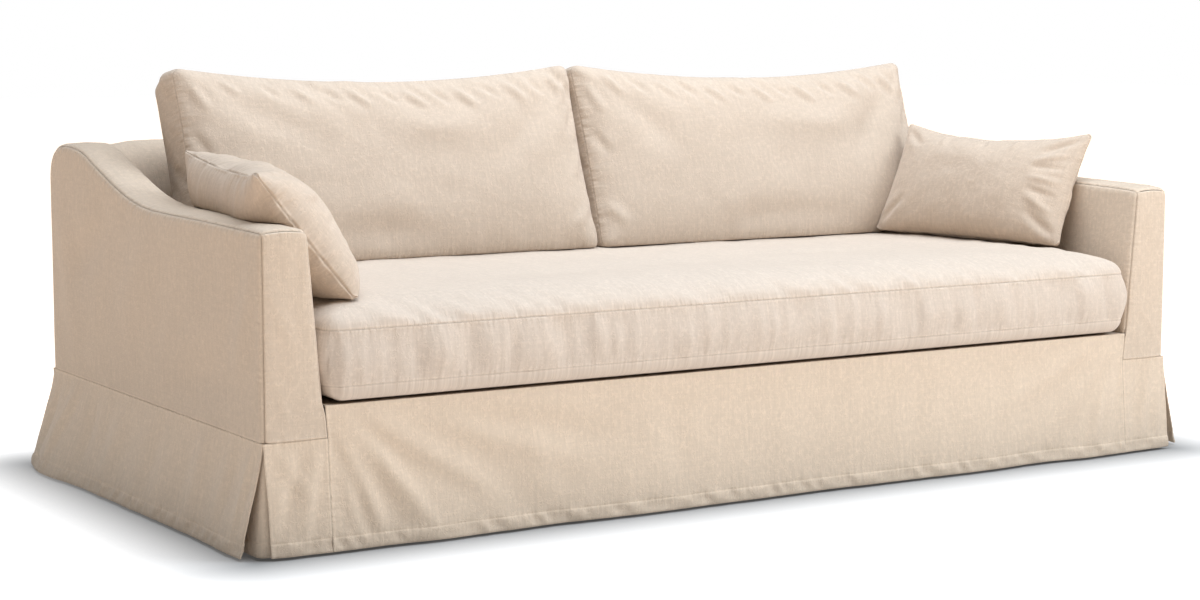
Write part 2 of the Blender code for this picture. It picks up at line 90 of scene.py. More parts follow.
ROLL = 0.017          # how round the cloth turns at the arm's sewn edges
E = np.array([0, .8, 1.7, 2.8, 4.0, 5.4, 7.2, 9.8, 13.5, 18.5, 25.5]) * 1e-3
E_FEW = np.array([0, 1.5, 3.5, 6.0, 10.0, 17.0]) * 1e-3


# ------------------------------------------------------------ maths
def noise2(x, y, size, seed):
    """Smooth seeded noise, -1 to 1, with lumps of about the given size."""
    g = np.random.RandomState(seed).rand(64, 64) * 2 - 1
    X, Y = np.asarray(x) / size + 100.3, np.asarray(y) / size + 100.7
    i, j = np.floor(X).astype(int), np.floor(Y).astype(int)
    fx, fy = X - i, Y - j
    fx = fx ** 3 * (fx * (fx * 6 - 15) + 10)
    fy = fy ** 3 * (fy * (fy * 6 - 15) + 10)
    a, b = g[i % 64, j % 64], g[(i + 1) % 64, j % 64]
    c, d = g[i % 64, (j + 1) % 64], g[(i + 1) % 64, (j + 1) % 64]
    return (a * (1 - fx) + b * fx) * (1 - fy) + (c * (1 - fx) + d * fx) * fy


def lumps(x, y, size, seed, octaves=3, fade=0.5):
    out, amp = 0.0, 1.0
    for k in range(octaves):
        out = out + amp * noise2(x, y, size / 1.9 ** k, seed + 17 * k)
        amp *= fade
    return out


def smooth(a, b, x):
    t = np.clip((np.asarray(x, float) - a) / (b - a), 0, 1)
    return t * t * (3 - 2 * t)


def softmax(a, b, k):
    """The larger of the two, blended over a distance k."""
    h = np.clip(0.5 + 0.5 * (a - b) / k, 0, 1)
    return b + (a - b) * h + k * h * (1 - h)


def softmin(a, b, k):
    return -softmax(-a, -b, k)


def fair(points, step=0.003, sigma=0.016):
    """A polyline made dense and fair, its two ends kept."""
    p = np.array(points, float)
    s = np.r_[0, np.cumsum(np.linalg.norm(np.diff(p, axis=0), axis=1))]
    keep = np.r_[True, np.diff(s) > 1e-9]
    p, s = p[keep], s[keep]
    n = max(4, int(s[-1] / step))
    t = np.linspace(0, s[-1], n + 1)
    q = np.stack([np.interp(t, s, p[:, k]) for k in range(p.shape[1])], 1)
    if sigma:
        m = int(3 * sigma / step)
        m = min(m, n - 1)
        ext = np.vstack([2 * q[0] - q[m:0:-1], q, 2 * q[-1] - q[-2:-m - 2:-1]])
        w = np.exp(-0.5 * (np.arange(-m, m + 1) * step / sigma) ** 2)
        w /= w.sum()
        q = np.stack([np.convolve(ext[:, k], w, "valid") for k in range(p.shape[1])], 1)
    return q


def eased(rows, col, at, sigma=0.03):
    """A table's column read with its corners eased."""
    xs = np.array([r[0] for r in rows])
    vs = np.array([r[col] for r in rows])
    dense = np.linspace(xs[0] - .2, xs[-1] + .2, 800)
    raw = np.interp(dense, xs, vs)
    step = dense[1] - dense[0]
    m = int(3 * sigma / step)
    w = np.exp(-0.5 * (np.arange(-m, m + 1) * step / sigma) ** 2)
    soft = np.convolve(np.pad(raw, m, mode="edge"), w / w.sum(), "valid")
    return np.interp(at, dense, soft)


def arm_top(y, label):
    xs = [r[0] for r in ARM_TOP[:-1]]
    vs = [r[1 if label == "left" else 2] for r in ARM_TOP[:-1]]
    return np.interp(y, xs, vs)


def arm_in(y, z, label):
    t = (z - SEAM_Z) / (arm_top(y, label) - SEAM_Z)
    return X_FOOT + (X_BAND - X_FOOT) * np.clip(t, 0, 1)


def back_in(z):
    return np.interp(z, [p[1] for p in BACK_LINE[:7]], [p[0] for p in BACK_LINE[:7]])


def spread(length, lo, hi, cell):
    """Distances along a length, close together near its ends."""
    a, b = lo[-1], hi[-1]
    n = max(2, int(round((length - a - b) / cell)))
    mid = a + (length - a - b) * np.arange(1, n) / n
    return np.r_[lo, mid, length - hi[::-1]]


def roll(R, *ds):
    """How far the cloth drops back where it turns over an edge of radius R."""
    s = sum(np.maximum(0, R - d) ** 2 for d in ds)
    floor = R * R / 3 if len(ds) > 1 else 0.0
    return R - np.sqrt(np.maximum(floor, R * R - s))


def welt(s, ridge=0.42, valley=0.30):
    """A plain seam: a narrow valley with the allowance showing beside it."""
    mm = np.asarray(s) * 1000
    return 1e-3 * (ridge * np.exp(-((mm - 3.4) / 2.0) ** 2)
                   - valley * np.exp(-(mm / 1.3) ** 2))


def crease(U, V, path, width, height, lean=0.0, flank=0.35):
    """A soft ridge or trough along a path on the cloth, fading at its ends."""
    p = np.array(path, float)
    if len(p) == 3:      # a bent path is drawn as a smooth curve
        t = np.linspace(0, 1, 11)[:, None]
        p = (1 - t) ** 2 * p[0] + 2 * t * (1 - t) * p[1] + t * t * p[2]
    seg = np.linalg.norm(np.diff(p, axis=0), axis=1)
    s = np.r_[0, np.cumsum(seg)] / seg.sum()
    pad = 3.6 * width
    box = ((U > p[:, 0].min() - pad) & (U < p[:, 0].max() + pad)
           & (V > p[:, 1].min() - pad) & (V < p[:, 1].max() + pad))
    out = np.zeros(U.shape)
    if not box.any():
        return out
    u, v = U[box], V[box]
    best = np.full(u.shape, 1e9)
    at = np.zeros(u.shape)
    sign = np.ones(u.shape)
    for k in range(len(p) - 1):
        d = p[k + 1] - p[k]
        L2 = float(d @ d) or 1e-12
        t = np.clip(((u - p[k, 0]) * d[0] + (v - p[k, 1]) * d[1]) / L2, 0, 1)
        du, dv = u - p[k, 0] - t * d[0], v - p[k, 1] - t * d[1]
        r2 = du * du + dv * dv
        near = r2 < best
        best = np.where(near, r2, best)
        at = np.where(near, s[k] + (s[k + 1] - s[k]) * t, at)
        sign = np.where(near, np.sign(d[0] * dv - d[1] * du), sign)
    r = np.sqrt(best)
    w = width * (1 + lean * sign)
    fade = np.sin(np.pi * np.clip(at, 0, 1)) ** 0.8
    end = np.exp(-np.maximum(0, r / width - 3) ** 2)
    out[box] = height * fade * end * (np.exp(-(r / w) ** 2)
                                      - flank * np.exp(-((r - 2.0 * w) / (1.2 * w)) ** 2))
    return out


def creases(U, V, rows):
    out = np.zeros(U.shape)
    for r in rows:
        out += crease(U, V, r[0], r[1], r[2], *(r[3:]))
    return out


def normals(P):
    """Unit normals of a grid of points, along (columns) x (rows)."""
    dj, di = np.empty_like(P), np.empty_like(P)
    dj[:, 1:-1] = P[:, 2:] - P[:, :-2]
    dj[:, 0], dj[:, -1] = P[:, 1] - P[:, 0], P[:, -1] - P[:, -2]
    di[1:-1] = P[2:] - P[:-2]
    di[0], di[-1] = P[1] - P[0], P[-1] - P[-2]
    n = np.cross(dj, di)
    return n / np.maximum(1e-12, np.linalg.norm(n, axis=2, keepdims=True))


# ------------------------------------------------------------ materials
def linen(name, colour, tone=1.0, crinkle=1.0):
    """Washed cotton-linen: crinkle with a painted highlight on its ridges, slubs, plain weave, painted
    seam shade and highlight, puckers.
    """
    m = bpy.data.materials.new(name)
    m.use_nodes = True
    nt = m.node_tree
    nodes, links = nt.nodes, nt.links
    bsdf = nodes["Principled BSDF"]
    bsdf.inputs["Roughness"].default_value = 0.93
    bsdf.inputs["Metallic"].default_value = 0.0
    bsdf.inputs["Specular IOR Level"].default_value = 0.15
    bsdf.inputs["Sheen Weight"].default_value = 0.22
    bsdf.inputs["Sheen Roughness"].default_value = 0.55
    bsdf.inputs["Sheen Tint"].default_value = (1.0, 0.98, 0.95, 1.0)

    def put(socket, value):
        if isinstance(value, bpy.types.NodeSocket):
            links.new(value, socket)
        else:
            socket.default_value = value

    def math_(op, a, b=0.0, c=None):
        n = nodes.new("ShaderNodeMath")
        n.operation = op
        put(n.inputs[0], a)
        put(n.inputs[1], b)
        if c is not None:
            put(n.inputs[2], c)
        return n.outputs[0]

    def scaled(vec, x, y, z=0.0):
        n = nodes.new("ShaderNodeVectorMath")
        n.operation = "MULTIPLY"
        links.new(vec, n.inputs[0])
        n.inputs[1].default_value = (x, y, z)
        return n.outputs[0]

    def grain(vec, detail=2.0, rough=0.5, distort=0.0):
        n = nodes.new("ShaderNodeTexNoise")
        n.noise_dimensions = "3D"
        links.new(vec, n.inputs["Vector"])
        n.inputs["Scale"].default_value = 1.0
        n.inputs["Detail"].default_value = detail
        n.inputs["Roughness"].default_value = rough
        n.inputs["Distortion"].default_value = distort
        return n.outputs[0]

    def bell(x, mid, width):
        d = math_("DIVIDE", math_("SUBTRACT", x, mid), width)
        return math_("EXPONENT", math_("MULTIPLY", math_("MULTIPLY", d, d), -1.0))

    cloth = nodes.new("ShaderNodeAttribute")
    cloth.attribute_name = "cloth"
    cloth = cloth.outputs["Vector"]
    seam = nodes.new("ShaderNodeAttribute")
    seam.attribute_name = "seam"
    split = nodes.new("ShaderNodeSeparateXYZ")
    links.new(seam.outputs["Vector"], split.inputs[0])
    away, along, pull = split.outputs[0], split.outputs[1], split.outputs[2]

    # crinkle left by washing: short bent ridges, a little longer along the warp
    worm = grain(scaled(cloth, 135, 100), 1.0, 0.5, 1.4)
    worm = math_("ABSOLUTE", math_("SUBTRACT", worm, 0.5))
    worm = math_("SUBTRACT", 1.0, math_("MULTIPLY", worm, 7.0))
    worm = math_("MAXIMUM", worm, 0.0)
    some = grain(scaled(cloth, 90, 75), 1.0, 0.5)
    some = math_("MULTIPLY", math_("SUBTRACT", some, 0.38), 4.0)
    some = math_("MINIMUM", math_("MAXIMUM", some, 0.0), 1.0)
    worm = math_("MULTIPLY", worm, some)
    soft = grain(scaled(cloth, 95, 78), 3.0, 0.6, 0.6)
    # slubs of the yarn, both ways
    warp = grain(scaled(cloth, 260, 9), 2.0, 0.6)
    weft = grain(scaled(cloth, 12, 300), 2.0, 0.6)
    slub = math_("ADD", math_("MULTIPLY", warp, 0.6), math_("MULTIPLY", weft, 0.4))
    # plain weave, about nine threads to the centimetre
    pick = nodes.new("ShaderNodeSeparateXYZ")
    links.new(cloth, pick.inputs[0])
    tx = math_("SINE", math_("MULTIPLY", pick.outputs[0], 2 * math.pi * 900))
    ty = math_("SINE", math_("MULTIPLY", pick.outputs[1], 2 * math.pi * 900))
    weave = math_("MULTIPLY", tx, ty)
    broad = grain(scaled(cloth, 7, 5), 2.0, 0.6)
    # puckers that the stitching draws in across a seam
    ripple = nodes.new("ShaderNodeCombineXYZ")
    links.new(math_("MULTIPLY", along, 82.0), ripple.inputs[0])
    links.new(math_("MULTIPLY", away, 14.0), ripple.inputs[1])
    ripple = math_("SUBTRACT", grain(ripple.outputs[0], 1.0, 0.4), 0.5)
    reach = math_("EXPONENT", math_("MULTIPLY", away, -62.0))
    reach = math_("MULTIPLY", reach, math_("SUBTRACT", 1.0, bell(away, 0.0, 0.0016)))
    ripple = math_("MULTIPLY", math_("MULTIPLY", ripple, reach), pull)

    height = math_("MULTIPLY", worm, 0.40 * crinkle)
    height = math_("ADD", height, math_("MULTIPLY", soft, 0.50 * crinkle))
    height = math_("ADD", height, math_("MULTIPLY", slub, 0.22))
    height = math_("ADD", height, math_("MULTIPLY", weave, 0.012))
    height = math_("ADD", height, math_("MULTIPLY", ripple, 7.0))
    bump = nodes.new("ShaderNodeBump")
    bump.inputs["Strength"].default_value = 1.0
    bump.inputs["Distance"].default_value = 0.001
    links.new(height, bump.inputs["Height"])
    links.new(bump.outputs[0], bsdf.inputs["Normal"])

    # painted highlight: the crinkle's ridge tops are painted lighter; slub, broad and soft below are the
    # cloth's own uneven tone
    shade = math_("MULTIPLY_ADD", worm, 0.125, 0.978)
    shade = math_("ADD", shade, math_("MULTIPLY", math_("SUBTRACT", slub, 0.5), 0.32))
    shade = math_("ADD", shade, math_("MULTIPLY", math_("SUBTRACT", broad, 0.5), 0.07))
    shade = math_("ADD", shade, math_("MULTIPLY", math_("SUBTRACT", soft, 0.5), 0.08))
    # painted shade: the colour darkens in each seam's valley; painted highlight: it lightens on the
    # allowance's ridge beside it
    shade = math_("SUBTRACT", shade, math_("MULTIPLY", bell(away, 0.0, 0.0012), 0.10))
    shade = math_("ADD", shade, math_("MULTIPLY", bell(away, 0.0032, 0.0017), 0.07))
    shade = math_("MULTIPLY", shade, tone)
    mul = nodes.new("ShaderNodeVectorMath")
    mul.operation = "SCALE"
    mul.inputs[0].default_value = colour
    links.new(shade, mul.inputs["Scale"])
    links.new(mul.outputs[0], bsdf.inputs["Base Color"])
    return m


# one cotton-linen in five tones: the skirt copy is lighter and the seat cushion copy paler and less
# saturated as painted light, the back-cushion and pillow copies darker as painted shade
CLOTHS = {
    "body_cloth": linen("body_linen", (0.608, 0.496, 0.390)),
    "skirt_cloth": linen("skirt_linen_painted_light", (0.672, 0.547, 0.426)),
    "cushion_cloth": linen("cushion_linen", (0.605, 0.511, 0.428)),
    "back_cloth": linen("back_linen_painted_shade", (0.565, 0.463, 0.372)),
    "pillow_cloth": linen("pillow_linen", (0.560, 0.452, 0.358)),
}


# ------------------------------------------------------------ meshes
def mesh_object(name, verts, faces, cloth, seam, slot):
    """One object from points and same-sided faces, with its cloth attributes."""
    me = bpy.data.meshes.new(name)
    verts = np.asarray(verts, np.float32)
    me.vertices.add(len(verts))
    me.vertices.foreach_set("co", verts.ravel())
    loops = np.concatenate([np.asarray(f, np.int32).ravel() for f in faces])
    sizes = np.concatenate([np.full(len(f), np.asarray(f).shape[1], np.int32)
                            for f in faces])
    me.loops.add(len(loops))
    me.loops.foreach_set("vertex_index", loops)
    me.polygons.add(len(sizes))
    me.polygons.foreach_set("loop_start",
                            np.r_[0, np.cumsum(sizes)[:-1]].astype(np.int32))
    me.polygons.foreach_set("loop_total", sizes)
    me.update(calc_edges=True)
    me.validate()
    for label, values in (("cloth", cloth), ("seam", seam)):
        v = np.zeros((len(verts), 3), np.float32)
        v[:, :values.shape[1]] = values
        at = me.attributes.new(label, "FLOAT_VECTOR", "POINT")
        at.data.foreach_set("vector", v.ravel())
    me.shade_smooth()
    me.set_sharp_from_angle(angle=math.radians(62))
    ob = bpy.data.objects.new(name, me)
    bpy.context.scene.collection.objects.link(ob)
    me.materials.append(CLOTHS[slot])
    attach(ob, "root")
    return ob


def grid_faces(rows, cols, start=0, flip=False):
    i, j = np.meshgrid(np.arange(rows - 1), np.arange(cols - 1), indexing="ij")
    a = (start + i * cols + j).ravel()
    q = np.stack([a, a + 1, a + cols + 1, a + cols], 1)
    return q[:, ::-1] if flip else q


def sheet(name, P, facing, uv, seam, slot, thick=CLOTH, hemmed=None):
    """A closed sheet of cloth whose outer side is the grid P."""
    rows, cols = P.shape[:2]
    n = normals(P)
    flip = float(n[rows // 2, cols // 2] @ np.asarray(facing, float)) < 0
    if flip:
        n = -n
    t = np.full((rows, cols, 1), thick)
    if hemmed is not None:
        t += hemmed[..., None]
    inner = P - n * t
    verts = np.vstack([P.reshape(-1, 3), inner.reshape(-1, 3)])
    k = rows * cols
    faces = [grid_faces(rows, cols, 0, flip), grid_faces(rows, cols, k, not flip)]
    idx = np.arange(k).reshape(rows, cols)
    ring = np.r_[idx[0, :], idx[1:, -1], idx[-1, -2::-1], idx[-2:0:-1, 0]]
    nxt = np.roll(ring, -1)
    rim = np.stack([ring, ring + k, nxt + k, nxt], 1)
    faces.append(rim[:, ::-1] if flip else rim)
    uv2 = np.vstack([uv.reshape(-1, 2)] * 2)
    sm = np.vstack([seam.reshape(-1, 3)] * 2)
    return mesh_object(name, verts, faces, uv2, sm, slot)


def seam_field(*edges):
    """Distance to the nearest seam, place along it and pull, from
    (distance, along, pull) of each edge."""
    d = np.stack([np.broadcast_to(e[0], edges[0][0].shape) for e in edges])
    a = np.stack([np.broadcast_to(e[1], edges[0][0].shape) for e in edges])
    p = np.stack([np.broadcast_to(e[2], edges[0][0].shape) for e in edges])
    k = np.argmin(d, axis=0)[None]
    pick = [np.take_along_axis(v, k, 0)[0] for v in (d, a, p)]
    near = np.sort(d, axis=0)
    calm = smooth(.002, .022, near[1] - near[0]) if len(edges) > 1 else 1.0
    return np.stack([np.maximum(0, pick[0]), pick[1], pick[2] * calm], -1)


def lift(P, facing, amount):
    """Move a grid along its own normals."""
    n = normals(P)
    if float(n[P.shape[0] // 2, P.shape[1] // 2] @ np.asarray(facing, float)) < 0:
        n = -n
    return P + n * amount[..., None]


def pinned(*distances, reach=0.02):
    """0 on every edge given, rising to 1 away from them."""
    out = 1.0
    for d in distances:
        out = out * (1 - np.exp(-np.maximum(0, d) / reach))
    return out


# ------------------------------------------------------------ arm lines
D0 = ROLL * (1 - math.sqrt(0.5))
ARM = {}
for label, col in (("left", 1), ("right", 2)):
    line = fair([(r[0], r[col]) for r in ARM_TOP], 0.003, 0.016)
    line[0, 1] = ARM_TOP[0][col]
    t = np.gradient(line, axis=0)
    t /= np.linalg.norm(t, axis=1, keepdims=True)
    ARM[label] = dict(line=line, out=np.stack([-t[:, 1], t[:, 0]], 1),
                      s=np.r_[0, np.cumsum(np.linalg.norm(np.diff(line, axis=0),
                                                          axis=1))])


def line_distance(y, z, label):
    """Distance from points beside the arm to its top line, carried down the back."""
    line = ARM[label]["line"][::2]
    line = np.vstack([line, [(Y_B, zz) for zz in np.arange(0.647, SEAM_Z - .02, -.004)]])
    p = np.stack([y.ravel(), z.ravel()], 1)
    out = np.empty(len(p))
    for a in range(0, len(p), 4000):
        q = p[a:a + 4000]
        best = np.full(len(q), 1e9)
        for c in range(0, len(line) - 1, 64):
            A = line[c:min(c + 64, len(line) - 1)]
            B = line[c + 1:min(c + 64, len(line) - 1) + 1]
            d = B - A
            L2 = (d * d).sum(1)
            w = q[:, None, :] - A[None]
            tt = np.clip((w * d[None]).sum(2) / L2[None], 0, 1)
            r = w - tt[..., None] * d[None]
            best = np.minimum(best, (r * r).sum(2).min(1))
        out[a:a + 4000] = np.sqrt(best)
    return out.reshape(y.shape)


# ------------------------------------------------------------ arms
ARM_SIDE_CREASES = {  # along the arm and up it; pulls below the band, long bends
    "left": [
        ([(-.530, .585), (-.515, .545)], .006, -.0011), ([(-.470, .600), (-.462, .572)], .004, .0008),
        ([(-.395, .602), (-.380, .560)], .006, -.0010), ([(-.300, .606), (-.297, .575)], .005, .0009),
        ([(-.215, .607), (-.190, .560)], .006, -.0010), ([(-.120, .608), (-.112, .580)], .004, .0008),
        ([(-.010, .612), (.010, .565)], .007, -.0012), ([(.070, .622), (.085, .575)], .006, .0010),
        ([(.160, .640), (.150, .590)], .007, -.0012), ([(.250, .668), (.235, .610)], .007, .0011),
        ([(.340, .700), (.320, .640)], .008, -.0013), ([(.420, .715), (.405, .650)], .008, .0012),
        ([(-.575, .560), (-.500, .430), (-.470, .300)], .030, .0022),
        ([(-.560, .300), (-.300, .330), (-.100, .250)], .045, -.0022),
        ([(-.050, .560), (.120, .430), (.160, .260)], .060, .0026),
        ([(.200, .600), (.330, .480), (.520, .440)], .050, -.0028),
        ([(.560, .640), (.470, .480), (.430, .250)], .045, .0030)],
    "right": [
        ([(-.520, .590), (-.500, .540)], .006, -.0011), ([(-.410, .602), (-.400, .570)], .005, .0009),
        ([(-.290, .606), (-.270, .560)], .006, -.0010), ([(-.150, .610), (-.145, .580)], .005, .0008),
        ([(-.020, .612), (.000, .560)], .007, -.0012), ([(.110, .632), (.120, .585)], .006, .0010),
        ([(.230, .668), (.215, .610)], .007, -.0012), ([(.370, .712), (.350, .650)], .008, .0013),
        ([(-.570, .540), (-.480, .420), (-.440, .280)], .030, -.0020),
        ([(-.380, .320), (-.150, .360), (.080, .260)], .050, .0024),
        ([(.040, .560), (.180, .430), (.240, .260)], .055, -.0026),
        ([(.540, .640), (.450, .480), (.400, .250)], .045, .0030)],
}


def outer_arm(s, label):
    A = ARM[label]
    by = A["line"][:, 0] - A["out"][:, 0] * D0
    bz = A["line"][:, 1] - A["out"][:, 1] * D0
    last = int(np.argmax(by > Y_B - D0 - 2e-4))
    ys = Y_F + D0 + spread(DEPTH - 2 * D0, E, E, 0.0095)
    top = np.interp(ys, by[:last + 1], bz[:last + 1])
    base = spread(0.40, E, E, 0.0095)
    frac = (base - E[-1]) / (0.40 - 2 * E[-1])
    h = top[None, :] - SEAM_Z
    lo, hi = len(E), len(base) - len(E)
    rows = np.arange(len(base))[:, None]
    zz = np.where(rows < lo, base[:, None],
                  np.where(rows >= hi, h - (0.40 - base[:, None]),
                           E[-1] + (h - 2 * E[-1]) * frac[:, None]))
    z = SEAM_Z + GAP / 2 + zz * (h - GAP / 2) / h
    y = np.broadcast_to(ys[None, :], z.shape).copy()
    dl = line_distance(y, z, label)
    df = y - Y_F
    u = (y - ys[0]) / (ys[-1] - ys[0])
    v = zz / h
    free = pinned(dl - D0, df - D0, z - SEAM_Z)
    x = X_OUT + 0.004 * np.sin(np.pi * u) * np.sin(np.pi * v) - roll(ROLL, dl, df)
    x = x + free * (0.0017 * lumps(y, z, .24, 31 + s) + 0.0005 * lumps(y, z, .05, 5 + s))
    x = x + 1.9 * free * creases(y, z, ARM_SIDE_CREASES[label])
    P = np.stack([s * x, y, z], -1)
    st, sf, sb, sd = dl - D0, df - D0, (Y_B - y) - D0, z - SEAM_Z
    P = lift(P, (s, 0, 0), welt(np.minimum(np.minimum(st, sf), sd)) * 1.0)
    seam = seam_field((st, y + z, 1.0), (sf, z, .55), (sb, z, .4), (sd, y, .6))
    ob = sheet("outer_arm_" + label, P, (s, 0, 0), np.stack([y, z], -1), seam,
               "body_cloth")
    return ob


def arm_band(s, label):
    A = ARM[label]
    L = A["s"][-1]
    t0 = D0
    ts = t0 + spread(L - t0, E, E_FEW, 0.0075)
    y0 = np.interp(ts, A["s"], A["line"][:, 0])
    z0 = np.interp(ts, A["s"], A["line"][:, 1])
    ny = np.interp(ts, A["s"], A["out"][:, 0])
    nz = np.interp(ts, A["s"], A["out"][:, 1])
    r_in = ROLL * (1 - smooth(.400, .500, y0)) + 1e-4
    e_in = r_in * (1 - math.sqrt(.5))
    unit = spread(ARM_TOP_W, E[:10], E[:10], 0.0065) / ARM_TOP_W
    e = D0 + unit[:, None] * (ARM_TOP_W - D0 - e_in[None, :])
    df = np.broadcast_to((y0 - Y_F)[None], e.shape)
    df = np.where(df > .3, .3, df)
    off = np.maximum(roll(ROLL, e, df), roll(r_in[None], ARM_TOP_W - e, df))
    w = e / ARM_TOP_W
    tt = np.broadcast_to(ts[None], e.shape)
    st, si, sf, se = e - D0, ARM_TOP_W - e - e_in[None], tt - t0, L - tt
    free = pinned(st, si, sf, se, reach=.012)
    hgt = 0.0045 * np.sin(np.pi * w) - off + free * (
        .0011 * lumps(tt, e, .11, 61 + s) + .0005 * lumps(tt, e, .03, 9 + s))
    hgt += free * creases(tt, e, [
        ([(.30, .02), (.345, .085)], .008, -.0010), ([(.62, .09), (.66, .03)], .009, .0012),
        ([(.80, .02), (.83, .09)], .010, -.0013), ([(.93, .09), (.98, .02)], .010, .0013),
        ([(1.05, .015), (1.07, .085)], .010, -.0013), ([(.10, .03), (.13, .08)], .007, .0008),
        ([(1.16, .02), (1.19, .09)], .012, .0016)])
    P = np.stack([s * (X_OUT - e), y0[None] + ny[None] * hgt, z0[None] + nz[None] * hgt], -1)
    P = lift(P, (0, 0, 1) if True else None, welt(np.minimum(np.minimum(st, si),
                                                            np.minimum(sf, se))))
    seam = seam_field((st, tt, 1.0), (si, tt, 1.0), (sf, e, .5), (se, e, .4))
    ob = sheet("arm_band_" + label, P, (0, 0, 1), np.stack([e, tt], -1), seam, "body_cloth")
    return ob


def arm_front(s, label):
    zt = ARM_TOP[0][1 if label == "left" else 2]
    zs = SEAM_Z + GAP / 2 + spread(zt - D0 - SEAM_Z, E, E, 0.0075)
    z = zs[:, None]
    unit = spread(0.115, E[:10], E[:10], 0.006) / 0.115
    r_in = ROLL * smooth(.258, .300, z) + 1e-4
    inner = arm_in(Y_F, z, label) + r_in * (1 - math.sqrt(.5))
    x = (X_OUT - D0) + unit[None] * (inner - X_OUT + D0)
    z = np.broadcast_to(z, x.shape)
    do, di = X_OUT - x, x - arm_in(Y_F, z, label)
    crown = .0045 * np.sin(np.pi * np.clip(do / ARM_TOP_W, 0, 1))
    z = z + crown * smooth(.30, .611, z)
    dt = zt + crown - z
    off = np.maximum(roll(ROLL, do, dt), roll(r_in + 0 * x, di, dt))
    st, so, si, sd = dt - D0, do - D0, di - r_in * (1 - math.sqrt(.5)), z - SEAM_Z
    free = pinned(st, so, si, sd, reach=.012)
    y = Y_F - .002 * np.sin(np.pi * unit[None]) + off
    y = y - free * (.0012 * lumps(x, z, .10, 71 + s) + .0004 * lumps(x, z, .03, 12 + s))
    y = y - free * creases(x, z, [
        ([(1.135, .520), (1.085, .380)], .014, .0016), ([(1.050, .330), (1.110, .250)], .012, -.0014),
        ([(1.125, .330), (1.095, .235)], .010, .0012), ([(1.070, .585), (1.080, .480)], .012, -.0010)])
    P = np.stack([s * x, y, z], -1)
    P = lift(P, (0, -1, 0), welt(np.minimum(np.minimum(st, so), np.minimum(si, sd)),
                                 1.1, 1.5))
    seam = seam_field((st, x, .8), (so, z, .6), (si, z, .6), (sd, x, .7))
    ob = sheet("arm_front_" + label, P, (0, -1, 0), np.stack([x, z], -1), seam, "body_cloth")
    return ob


def inner_arm(s, label):
    A = ARM[label]
    by = A["line"][:, 0] - A["out"][:, 0] * D0
    bz = A["line"][:, 1] - A["out"][:, 1] * D0
    last = int(np.argmax(by > .5))
    y0, y_end = Y_F + D0, .40
    for _ in range(30):
        y_end = float(back_in(np.interp(y_end, by[:last], bz[:last])))
    ycol = y0 + spread(y_end - y0, E, E_FEW, .011)
    top = np.interp(ycol, by[:last], bz[:last])
    v = spread(.40, E_FEW, E, .010)[:, None] / .40
    z = DECK_Z + (top[None] - DECK_Z) * v
    zb = DECK_Z + (top[-1] - DECK_Z) * v
    u = (ycol - y0)[None] / (y_end - y0)
    y = y0 + (back_in(zb) - y0) * u
    d_top = (np.interp(y, A["line"][:, 0][:len(by)], A["line"][:, 1]) - z)
    slope = np.gradient(A["line"][:, 1], A["line"][:, 0] + 1e-7 * np.arange(len(by)))
    d_top = d_top / np.sqrt(1 + np.interp(y, A["line"][:last, 0], slope[:last]) ** 2)
    r_in = ROLL * (1 - smooth(.400, .500, y)) + 1e-4
    d_top = np.maximum(d_top, r_in * (1 - math.sqrt(.5)))
    df = y - Y_F
    off = roll(r_in, d_top, df)
    st, sf = d_top - r_in * (1 - math.sqrt(.5)), df - D0
    free = pinned(st, sf, z - DECK_Z, reach=.015) * smooth(0, .02, back_in(z) - y)
    x = arm_in(y, z, label) + off - free * (
        .0012 * lumps(y, z, .2, 81 + s) + .0005 * lumps(y, z, .05, 15 + s))
    P = np.stack([s * x, y, z], -1)
    P = lift(P, (-s, 0, 0), welt(np.minimum(st, sf)))
    seam = seam_field((st, y, 1.0), (sf, z, .6), (back_in(z) - y, z, .5))
    ob = sheet("inner_arm_" + label, P, (-s, 0, 0), np.stack([y, z], -1), seam, "body_cloth")
    return ob


